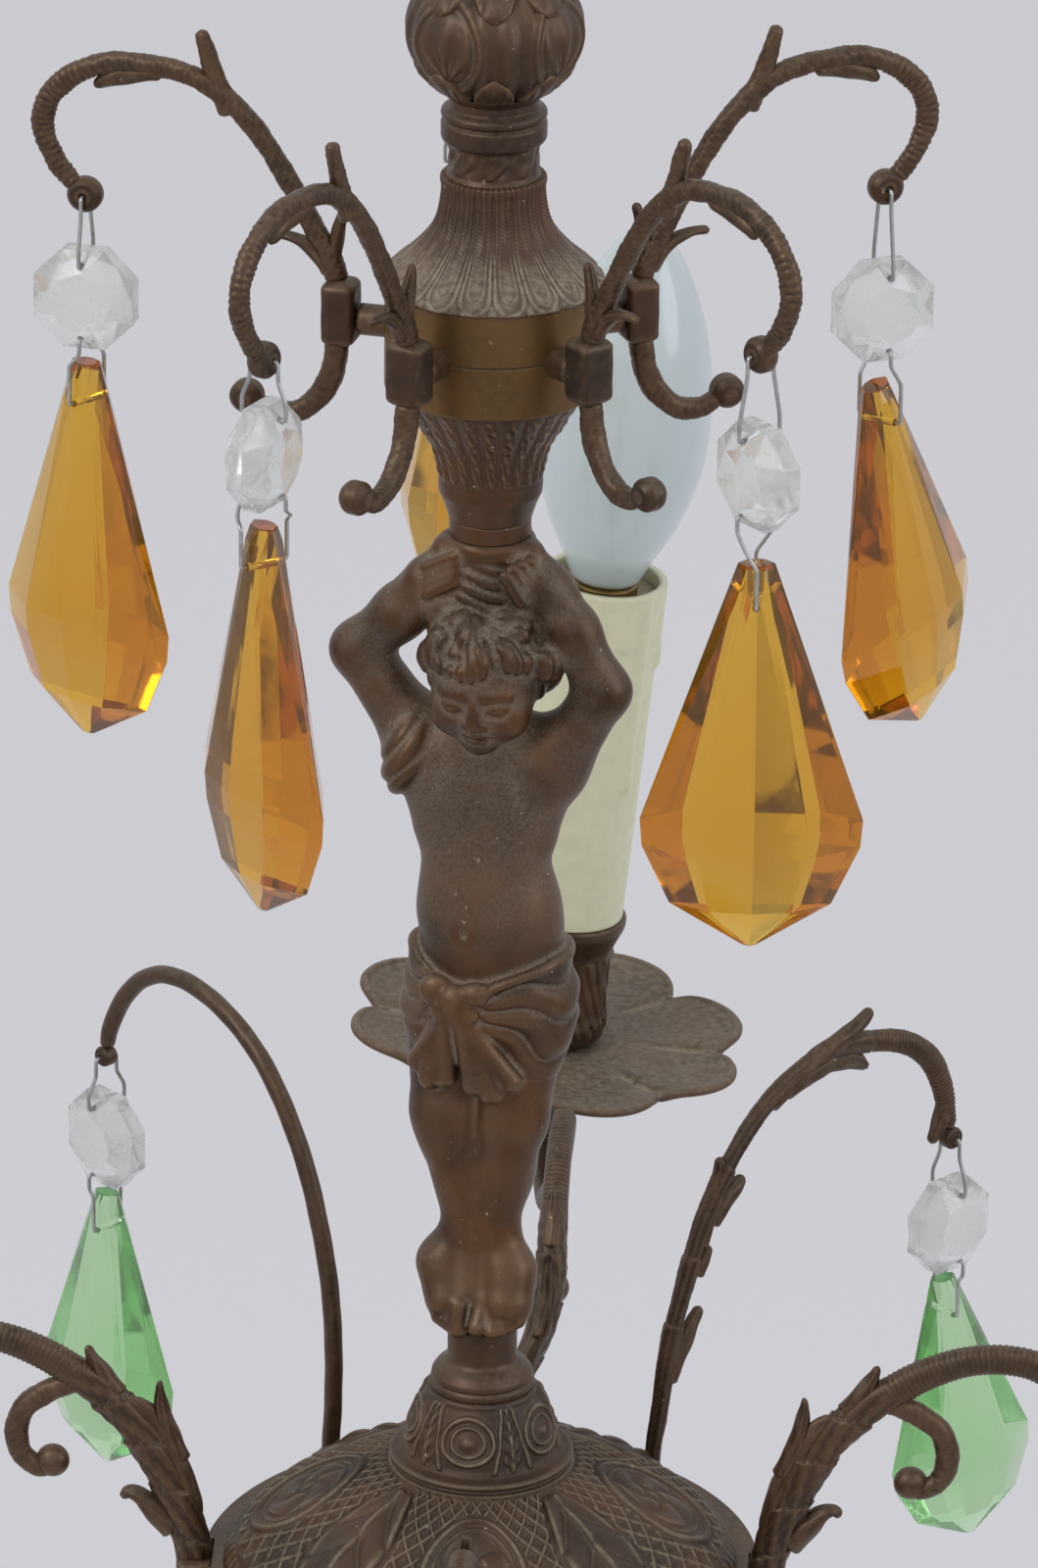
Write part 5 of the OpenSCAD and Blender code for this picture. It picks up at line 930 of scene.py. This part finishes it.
def beadCorners():
    # outer octagon at the girdle, and a table octagon on each face turned by half a side
    rim = beadShape["height"] / 2 / math.cos(math.pi / 8)
    out = []
    for share, half, shift in ((1, beadShape["edge"] / 2, 0.5), (0.56, beadShape["table"] / 2, 0)):
        for j in range(8):
            at = (j + shift) * tau / 8
            out += [[rim * share * math.cos(at), y, rim * share * math.sin(at)] for y in (-half, half)]
    return out


def prismCorners(shape):
    # eight sided sections: edge, side facet and two middle facets that meet in a ridge
    w, t = shape["width"] / 2, shape["thick"] / 2
    out = []
    for depth, wide, thick in girths:
        z = -depth * shape["height"]
        out += [[side * wide * w, 0, z] for side in (-1, 1)]
        out += [[side * wide * w * 0.5, face * thick * t * 0.84, z] for side in (-1, 1) for face in (-1, 1)]
        out += [[0, face * thick * t, z] for face in (-1, 1)]
    return out


for k, drop in enumerate(drops):
    turn = math.radians(drop["arm"])
    centre = [drop["r"] * math.cos(turn), drop["r"] * math.sin(turn)]
    beadTop = drop["z"] - drop["wire"]
    beadMiddle = beadTop - beadShape["height"] / 2
    prismTop = beadTop - beadShape["height"] - drop["gap"]
    shape = drop["shape"]
    q = drop["arm"] + 90
    face = drop["face"] - 180 * round((drop["face"] - q) / 180)
    hookHalf = drop["disc"] / 2 + wireRadius + 0.5
    beadHalf = beadThick(beadShape["inset"] + 1) / 2 + wireRadius + 0.4
    dropHalf = shape["thick"] * mix(0.42, 1, holeInset / shape["height"] / 0.67) / 2 + wireRadius + 0.6
    topPin, lowPin = beadTop - beadShape["inset"], beadTop - beadShape["height"] + beadShape["inset"]
    upper = wireLoop([[hookHalf - 0.1, drop["z"], q], [hookHalf, drop["z"] - 3.9, q], [beadHalf, beadTop + 0.6, q], [beadHalf, topPin, q]], centre, wireRadius)
    lower = wireLoop([[beadHalf, lowPin, q], [beadHalf, lowPin - beadShape["inset"] - 0.3, q],
                      [mix(beadHalf, dropHalf, 0.5), prismTop + drop["gap"] / 2, mix(q, face, 0.5)], [dropHalf, prismTop + 0.3, face],
                      [dropHalf, prismTop - holeInset, face]], centre, wireRadius)
    link, n = f"link_{k + 1}", k + 1
    piece(f"wires{n}", joined([upper, lower]), wireSteel, f"wires_{n}", link, rounds=0)
    beadPlace = Matrix.Translation(Vector((centre[0], centre[1], beadMiddle)) * mm) @ Matrix.Rotation(turn, 4, "Z")
    offset = beadShape["height"] / 2 - beadShape["inset"]
    gem(f"bead{n}", beadCorners(), 0.18, [([0, 0, offset], holeRadius), ([0, 0, -offset], holeRadius)], beadPlace, clearGlass, link, f"bead_{n}")
    prismPlace = (Matrix.Translation(Vector((centre[0], centre[1], prismTop - holeInset)) * mm)
                  @ Matrix.Rotation(math.radians(drop["face"] + 90), 4, "Z") @ Matrix.Rotation(math.radians(-drop["tilt"]), 4, "Y")
                  @ Matrix.Translation(Vector((0, 0, holeInset)) * mm))
    amber = shape is amberShape
    gem(f"prism{n}", prismCorners(shape), 0.22, [([0, 0, -holeInset], holeRadius)], prismPlace, amberGlass if amber else greenGlass,
        f"drop_{n}", f"prism_{n}")
print("pendants made")

# Figure: a distance field (below 0 inside) made of rounded limbs and eggs that melt into one another.
# It looks along -Y and stands on height 0; all in millimetres.

def limb(p, a, ra, b, rb):
    # |p - (a + t (b - a))| - radius at t, with t the nearest point's share of the way
    a, b = np.array(a, np.float32), np.array(b, np.float32)
    way = b - a
    t = np.clip((p - a) @ way / (way @ way), 0, 1)
    return np.linalg.norm(p - a - t[:, None] * way, axis=1) - (ra + (rb - ra) * t)


def egg(p, centre, radii, turn=(0, 0, 0)):
    # k (k - 1) / g with k = |p / radii| and g = |p / radii^2|
    q = p - np.array(centre, np.float32)
    if any(turn):
        q = q @ np.array(Euler([math.radians(v) for v in turn]).to_matrix(), np.float32)
    radii = np.array(radii, np.float32)
    k = np.linalg.norm(q / radii, axis=1)
    return k * (k - 1) / np.maximum(np.linalg.norm(q / radii ** 2, axis=1), 1e-6)


def meld(a, b, k):
    # the lower of both, rounded where they come within k of each other
    h = np.maximum(k - np.abs(a - b), 0) / k
    return np.minimum(a, b) - h * h * k / 4


def carve(a, b, k):
    # a with b taken out of it
    return -meld(-a, b, k)


def both(entry):
    # the entry and its mirror image in x = 0
    kind, *rest = entry
    def flip(v):
        return (-v[0], *v[1:])
    if kind == "limb":
        a, ra, b, rb, k = rest
        return [entry, ("limb", flip(a), ra, flip(b), rb, k)]
    centre, radii, turn, k = rest
    return [entry, (kind, flip(centre), radii, (turn[0], -turn[1], -turn[2]), k)]


def shaped(p, entries, start=None):
    value = start if start is not None else np.full(len(p), 60, np.float32)
    for entry in entries:
        if entry[0] == "limb":
            value = meld(value, limb(p, *entry[1:5]), entry[5])
        elif entry[0] == "egg":
            value = meld(value, egg(p, *entry[1:4]), entry[4])
        else:
            value = carve(value, egg(p, *entry[1:4]), entry[4])
    return value


trunk = [
    ("egg", (0, 0, 106), (12.9, 9.4, 14), (0, 0, 0), 1),
    ("egg", (0, -1.5, 87.5), (13.0, 10.8, 15), (0, 0, 0), 8),
    ("egg", (1, 0.6, 70), (15.6, 11.6, 12), (0, 0, 0), 7),
    *both(("egg", (10.5, 0.2, 117), (6.4, 6.4, 6.8), (0, 0, 0), 6)),
    ("limb", (-10.4, 1.0, 104), 3.6, (-13.6, 0.8, 117), 4.9, 6),
    ("limb", (9.2, 1.0, 104), 3.0, (12.4, 0.8, 117.5), 4.4, 5),
    ("egg", (8.0, 0.2, 84), (6.0, 8.0, 10.5), (0, 0, 0), 6),
    *both(("egg", (6.6, 6.8, 63), (7.4, 6.4, 8.4), (0, 0, 0), 4)),
    *both(("egg", (6.4, 5.6, 112), (4.6, 2.4, 6.2), (0, 0, 0), 6)),
    *both(("limb", (5, 0.6, 121), 6.0, (11.5, 0.4, 121.5), 5.2, 4)),
    ("cut", (0, 12.2, 94), (1.6, 3.0, 22), (4, 0, 0), 4),
    ("cut", (0, 15.2, 58), (0.9, 4.4, 8), (0, 0, 0), 3),
    ("cut", (-0.6, -12.7, 86), (0.9, 1.5, 1.1), (0, 0, 0), 0.8),
    ("limb", (0, 0.5, 117), 7.6, (0.6, -2.0, 127), 6.6, 5)]
legs = [
    ("limb", (-7.6, 0.8, 64), 8.2, (-6.5, -2.2, 46), 7.0, 1.2),
    ("limb", (7.6, 0.8, 64), 8.2, (6.0, -1.8, 45), 6.8, 1.4),
    ("limb", (-6.5, -2.2, 46), 7.0, (-3.1, -1.4, 22), 4.3, 1.8),
    ("limb", (6.0, -1.8, 45), 6.8, (2.9, -1.2, 22), 4.3, 2.2),
    ("egg", (-6.2, -5.2, 43), (4.4, 3.4, 6.0), (0, 0, 0), 5),
    ("egg", (-5.2, 2.3, 34), (4.6, 4.2, 8.5), (0, 0, 0), 3),
    ("egg", (4.9, 2.3, 34), (4.5, 4.2, 8.5), (0, 0, 0), 3),
    ("limb", (0, 0.8, 8), 5.4, (0, 0.3, 34), 5.9, 3),
    ("limb", (0, 0.3, 34), 5.9, (0, 1.9, 64), 6.3, 2.5)]
feet = [
    ("limb", (0, 0, 0), 6.3, (0, 0, 7), 5.8, 1),
    ("limb", (-3.1, -1.4, 21), 4.2, (-6.6, -2.6, 13), 5.3, 2),
    ("limb", (-6.6, -2.8, 13), 5.3, (-4.9, -6.0, 7.4), 4.7, 2),
    ("limb", (2.9, -1.4, 21), 4.2, (5.8, -2.6, 13), 5.3, 2),
    ("limb", (5.8, -2.8, 13), 5.3, (6.6, -5.6, 7.8), 5.2, 2),
    ("limb", (-0.2, -2.8, 17), 3.2, (0.2, -5.8, 9.0), 3.4, 2.5),
    ("egg", (-6.9, -6.4, 9.8), (2.6, 1.7, 3.6), (0, 10, 0), 1.2),
    *[("limb", (-7.2 + 1.4 * j, -6.6 - 0.75 * j, 8.6 - 0.3 * j), 1.4, (-6.4 + 1.35 * j, -8.0 - 0.65 * j, 3.6 - 0.35 * j), 1.3, 0.8) for j in range(4)],
    ("limb", (-1.8, -9.2, 7.4), 1.8, (-1.5, -10.2, 2.6), 1.7, 0.8),
    ("limb", (2.6, -7.6, 8.0), 1.9, (2.5, -10.8, 4.0), 1.9, 1.2),
    *[("limb", (5.0 + 1.4 * j, -8.2 + 0.9 * j, 7.8), 1.4, (5.4 + 1.5 * j, -11.0 + 1.0 * j, 3.6 + 0.2 * j * j), 1.4, 0.9) for j in range(4)]]
arms = [
    ("limb", (-12.6, 0, 118.5), 6.2, (-25.2, -0.8, 136.4), 5.1, 5),
    ("limb", (-25.2, -1.0, 136.8), 5.1, (-16.8, -1.8, 145.6), 4.9, 3),
    ("limb", (-16.8, -1.8, 145.6), 4.9, (-11.4, -2.8, 152.8), 4.2, 3),
    ("limb", (13.4, 0, 118.2), 5.9, (22.7, -0.9, 134.4), 4.9, 5),
    ("limb", (22.7, -1.0, 134.6), 4.9, (16.9, -1.4, 146.0), 4.6, 3),
    ("limb", (16.9, -1.4, 146.0), 4.6, (12.0, -1.2, 154.4), 4.1, 3)]


def fingersOf(start, way, across):
    # four fingers side by side: each starts one step across from the last, and they touch
    start, way, across = (np.array(v, float) for v in (start, way, across))
    return [("limb", tuple(start + across * j), 1.4, tuple(start + across * (j * 0.98) + way * (1 - 0.05 * abs(j - 1.2))), 1.15, 0.6) for j in range(4)]


hands = [
    ("limb", (-12.2, -2.9, 150.6), 4.0, (-7.6, -3.6, 160.0), 2.4, 3),
    ("limb", (12.4, -1.0, 152.0), 4.0, (9.0, -2.0, 160.2), 2.6, 3),
    ("egg", (-10.4, -5.2, 153.8), (3.4, 2.2, 3.8), (0, -30, 10), 3),
    ("egg", (-6.6, -5.2, 149.6), (3.4, 3.2, 3.4), (0, 0, 0), 2),
    ("egg", (9.6, -4.2, 154.6), (3.4, 2.6, 4.6), (10, -30, -24), 3),
    *fingersOf((-9.6, -7.3, 152.2), (6.2, -0.7, 3.6), (-0.1, 0.2, 1.7)),
    *fingersOf((8.2, -6.9, 152.8), (-2.6, -1.7, 5.6), (1.2, 1.2, 0.8))]
knot = [
    ("egg", (-2.0, -12.9, 72.2), (3.2, 2.3, 3.6), (0, 0, 0), 0.8),
    ("egg", (-5.8, -11.8, 73.6), (3.7, 2.1, 3.3), (0, 24, 0), 0.8),
    ("egg", (1.6, -12.5, 74.0), (3.4, 2.0, 2.6), (0, -24, 0), 0.8),
    ("egg", (-4.4, -12.4, 70.2), (2.6, 2.0, 2.4), (0, -30, 0), 0.6),
    ("egg", (0.6, -12.9, 70.6), (2.5, 1.9, 2.6), (0, 20, 0), 0.6)]
tails = [("limb", (-3.2, -12.2, 69.4), 1.9, end, size, 1.1)
         for end, size in (((-10.2, -8.6, 57.4), 2.4), ((-7.4, -10.0, 55.0), 2.6), ((-4.2, -11.0, 56.0), 2.4))]
tails += [("limb", (-0.8, -12.6, 69.4), 1.9, end, size, 1.1)
          for end, size in (((1.8, -11.5, 55.4), 2.4), ((5.0, -10.8, 54.0), 2.6), ((8.0, -9.4, 56.0), 2.4))]

# Head in its own frame: middle at 0, it looks along -Y; plain, calm proportions with the eyes at half its height
headMiddle, headTurn = (0.9, -4.6, 136.2), (17, 0, 5)
face = [
    ("egg", (0, 1.0, 2.6), (9.9, 10.6, 10.6), (0, 0, 0), 1),
    ("egg", (0, -2.6, -3.8), (8.2, 7.6, 9.0), (0, 0, 0), 4),
    *both(("egg", (4.5, -6.2, -4.8), (4.0, 3.6, 4.1), (0, 0, 0), 2.5)),
    ("egg", (0, -7.9, -10.0), (2.7, 2.3, 2.3), (0, 0, 0), 2.5),
    *both(("cut", (3.8, -11.2, -0.2), (2.7, 2.3, 1.9), (0, 0, 8), 1.8)),
    *both(("egg", (3.8, -8.5, -0.7), (2.35, 1.9, 1.6), (0, 0, 12), 0.5)),
    *both(("limb", (2.1, -9.5, 1.9), 0.4, (5.4, -8.4, 1.8), 0.4, 2.2)),
    ("limb", (0, -9.6, -0.2), 0.8, (0, -11.0, -3.6), 1.2, 1.8),
    *both(("egg", (1.25, -10.5, -4.1), (0.95, 0.95, 0.75), (0, 0, 0), 0.6)),
    ("egg", (0, -10.0, -6.7), (2.3, 0.95, 0.6), (0, 0, 0), 0.7),
    ("egg", (0, -9.9, -7.8), (1.9, 1.0, 0.65), (0, 0, 0), 0.5),
    *both(("egg", (9.3, 0.6, -1.6), (1.3, 2.2, 3.0), (0, 0, 0), 0.8))]


def lockPaths():
    # broad wavy locks in rows from the crown down: each bends to one side as it goes and hugs the skull
    rng = np.random.default_rng(11)
    out = []
    for polar, count in ((18, 4), (46, 7), (74, 9), (98, 9), (120, 8)):
        for j in range(count):
            turn = wrap((j + 0.5 * (polar % 4 == 0)) * tau / count + rng.uniform(-0.09, 0.09))
            fringe = 50 + 36 * ease(abs(turn), 0.7, 1.2)
            if polar > fringe and abs(turn) < 2.0:
                continue
            bend = np.sign(turn + 0.01) * rng.uniform(0.5, 1.1) if polar > 50 else rng.choice([-1, 1])
            length = rng.uniform(1.2, 1.6)
            steps = np.arange(6) / 5
            pol = math.radians(polar) + 0.46 * length * (steps - 0.42 * steps ** 2.5)
            azi = turn + bend * (0.42 * steps ** 2 - 0.14) / max(math.sin(math.radians(polar + 8)), 0.35)
            wide = 11.0 + (2.0 if turn > 0 else -0.9) * ease(abs(turn), 0.7, 1.5)
            at = np.stack([np.sin(azi) * np.sin(pol) * wide, -np.cos(azi) * np.sin(pol) * 10.1 + 1.2, np.cos(pol) * 9.8 + 2.9], 1)
            out.append((at.astype(np.float32), 2.9 * (1 - 0.5 * steps ** 1.6)))
    return out


locks = lockPaths()


def headField(p):
    rotation = np.array(Euler([math.radians(v) for v in headTurn]).to_matrix(), np.float32)
    q = (p - np.array(headMiddle, np.float32)) @ rotation
    value = shaped(q * np.array([1 / 1.08, 1, 1], np.float32), face)
    lid = ridge(q[:, 2], -1.25, 0.2) * ridge(np.abs(q[:, 0]), 3.8, 1.9) * (q[:, 1] < -7)
    mouth = ridge(q[:, 2], -7.22, 0.2) * ridge(q[:, 0], 0, 2.1) * (q[:, 1] < -8)
    value = value + 0.3 * lid + 0.4 * mouth
    turn, polar = np.arctan2(q[:, 0], -q[:, 1]), np.arccos(np.clip((q[:, 2] - 2.9) / np.maximum(np.linalg.norm(q - [0, 1.2, 2.9], axis=1), 0.1), -1, 1))
    line = np.radians(60 + 34 * ease(np.abs(turn), 0.7, 1.3) + 30 * ease(np.abs(turn), 1.5, 2.2))
    cap = egg(q, (0, 1.2, 2.9), (11.6, 11.3, 10.9)) + 2.4 * ease(polar, line - 0.12, line + 0.1)
    hair = meld(cap, egg(q, (7.4, 1.4, -0.6), (3.2, 4.0, 6.2)), 0.8)
    for at, radii in locks:
        for j in range(5):
            hair = meld(hair, limb(q, at[j], radii[j], at[j + 1], radii[j + 1]), 0.5)
    strands = 0.2 * np.cos(turn * 26 + 3.0 * np.sin(polar * 4 + turn)) * np.sin(polar)
    return meld(value, hair + strands, 0.3)


def clothField(p, body):
    # hip cloth: the body's own surface a little out between two slanting edges, with crisp folds that fan from the knot,
    # |cos(fan)| to a low power, and thinner towards its foot
    turn = np.arctan2(p[:, 0], -p[:, 1])
    top = 75.4 + 5.4 * ease(np.abs(turn + 0.1), 0, 1.5)
    foot = 57.0 + 1.5 * np.cos(turn) - 2.5 * np.sin(turn)
    across, up = (turn + 0.16) * 14, p[:, 2] - 72.5
    fan, away = np.arctan2(up, across), np.hypot(across, up)
    front = ease(-np.abs(turn), -2.0, -1.4)
    folds = 1.8 * (np.abs(np.cos(9.0 * fan + 0.8 * np.sin(away * 0.35))) ** 0.6 - 0.62) * ease(away, 3.5, 6.5) * front
    folds = folds + 0.6 * np.cos(p[:, 2] * 0.95 + 1.6 * np.cos(2 * turn) + turn) * (1 - front)
    hem = 0.35 * ridge(p[:, 2], top - 1.0, 0.9)
    thick = mix(0.3, 1.3, ease(p[:, 2], foot, foot + 8))
    return -meld(-(body - thick - 0.6 * folds * ease(p[:, 2], foot, foot + 5) - hem), meld(top - p[:, 2], p[:, 2] - foot, 0.8), 0.8)


def drapeField(p):
    # snug sleeve of cloth on the shoulder with slanting folds: a low power of |cos| across them
    across = (p[:, 0] - 0.8 * p[:, 2]) / 1.28
    folds = 0.9 * (np.abs(np.cos(across * math.pi / 3.9 + 0.5 * np.sin(p[:, 2] * 0.3))) ** 0.6 - 0.6)
    return egg(p, (-14.2, -1.4, 118.0), (5.4, 8.4, 9.4), (0, 14, 0)) - folds


def cushionField(p):
    # flat rim with rounded edges and a gathered cloth under it: folds that hang lower to one side
    r = np.hypot(p[:, 0], p[:, 1])
    turn = np.arctan2(p[:, 0], -p[:, 1]) - 0.3
    swag = 0.9 * (np.abs(np.cos(1.15 * (p[:, 2] + 2.4 * turn - 1.1 * turn ** 2))) ** 0.6 - 0.6) * ease(-np.abs(turn), -1.9, -1.3)
    wall = np.interp(p[:, 2], [142, 150, 152, 155, 159, 163], [7.4, 7.8, 8.4, 8.6, 8.1, 7.9]) + swag
    rim = np.hypot(np.maximum(r - 7.5, 0), np.maximum(np.abs(p[:, 2] - 161) - 0.7, 0)) - 1.1
    body = np.maximum(r - wall, 143 - p[:, 2])
    return meld(body * 0.8, rim, 0.4)


def figureField(p):
    value = shaped(p, trunk)
    value = shaped(p, legs, value)
    value = shaped(p, arms, value)
    value = np.minimum(value, 60)
    zones = [
        (p[:, 2] < 26, lambda q, v: shaped(q, feet, v)),
        ((p[:, 2] > 50) & (p[:, 2] < 88), lambda q, v: shaped(q, knot, shaped(q, tails, meld(v, clothField(q, v), 0.3)))),
        ((p[:, 2] > 102) & (p[:, 2] < 130) & (p[:, 0] < -3), lambda q, v: meld(v, drapeField(q), 0.8)),
        ((p[:, 2] > 118) & (p[:, 2] < 156) & (np.abs(p[:, 0]) < 20), lambda q, v: meld(v, headField(q), 1.0)),
        ((p[:, 2] > 142) & (np.abs(p[:, 0]) < 18), lambda q, v: shaped(q, hands, meld(v, cushionField(q), 0.5)))]
    for where, change in zones:
        if where.any():
            value = value.copy()
            value[where] = change(p[where], value[where])
    return np.maximum(np.maximum(value, p[:, 2] - 163), -p[:, 2])


def surfaceOf(field, low, high, cell):
    # one point per grid cell that the surface crosses, moved onto the surface, and one face per crossed grid edge
    axes = [np.arange(low[k], high[k], cell, dtype=np.float32) for k in range(3)]
    size = [len(a) for a in axes]
    value = np.empty(size, np.float32)
    for k in range(0, size[2], 24):
        part = np.stack(np.meshgrid(axes[0], axes[1], axes[2][k:k + 24], indexing="ij"), -1)
        value[:, :, k:k + 24] = field(part.reshape(-1, 3)).reshape(part.shape[:3])
    inside = value < 0
    corners = sum(inside[i:size[0] - 1 + i, j:size[1] - 1 + j, k:size[2] - 1 + k].astype(np.int8) for i in (0, 1) for j in (0, 1) for k in (0, 1))
    crossed = (corners > 0) & (corners < 8)
    index = np.full(crossed.shape, -1)
    index[crossed] = np.arange(crossed.sum())
    at = np.argwhere(crossed)
    points = np.stack([axes[k][at[:, k]] for k in range(3)], 1) + cell / 2
    quads = []
    for axis in range(3):
        u, v = (axis + 1) % 3, (axis + 2) % 3
        here = np.take(inside, range(size[axis] - 1), axis)
        there = np.take(inside, range(1, size[axis]), axis)
        edges = np.argwhere(here != there)
        edges = edges[(edges[:, u] > 0) & (edges[:, v] > 0) & (edges[:, u] < size[u] - 1) & (edges[:, v] < size[v] - 1)]
        ring = []
        for du, dv in ((1, 1), (0, 1), (0, 0), (1, 0)):
            cellAt = edges.copy()
            cellAt[:, u] -= du
            cellAt[:, v] -= dv
            ring.append(index[tuple(cellAt.T)])
        ring = np.stack(ring, 1)
        out = here[tuple(edges.T)]
        quads.append(np.where(out[:, None], ring, ring[:, ::-1]))
    quads = np.vstack(quads)
    pairs = np.vstack([quads[:, [k, (k + 1) % 4]] for k in range(4)])
    count = np.maximum(np.bincount(pairs[:, 0], minlength=len(points)), 1)[:, None]
    for turn in range(4):
        for _ in range(2):
            mean = np.stack([np.bincount(pairs[:, 0], points[pairs[:, 1], k], len(points)) for k in range(3)], 1) / count
            points = (mix(points, mean, 0.5) if turn < 3 else points).astype(np.float32)
        here = field(points)
        slope = np.stack([field(points + step) - here for step in np.eye(3, dtype=np.float32) * 0.06], 1) / 0.06
        points = points - np.clip(here, -cell, cell)[:, None] * slope / np.maximum((slope ** 2).sum(1), 0.25)[:, None]
    return points.astype(float), quads, np.zeros((0, 3), int)


figureTurn, figureBase = -18, -302.2
body = surfaceOf(figureField, (-33, -19, -1), (31, 17, 164.5), 0.52)
place = Matrix.Translation((0, 0, figureBase)) @ Matrix.Rotation(math.radians(figureTurn), 4, "Z")
# painted sheen: from the waist up the figure gets more of the dust colour, so it looks paler and greyer; painted shade:
# the crease between the legs gets less of it, so it stays dark
piece("figure", moved(body, place), figureBronze, "figure", rounds=14, depth=0.3,
      extra=lambda p: 0.6 * ease(p[:, 2], -228, -212) - 0.5 * ridge(p[:, 0], -0.9, 1.8) * ease(-p[:, 2], 240, 246) * ease(p[:, 2], -272, -266))
print("figure made:", len(body[1]), "faces")
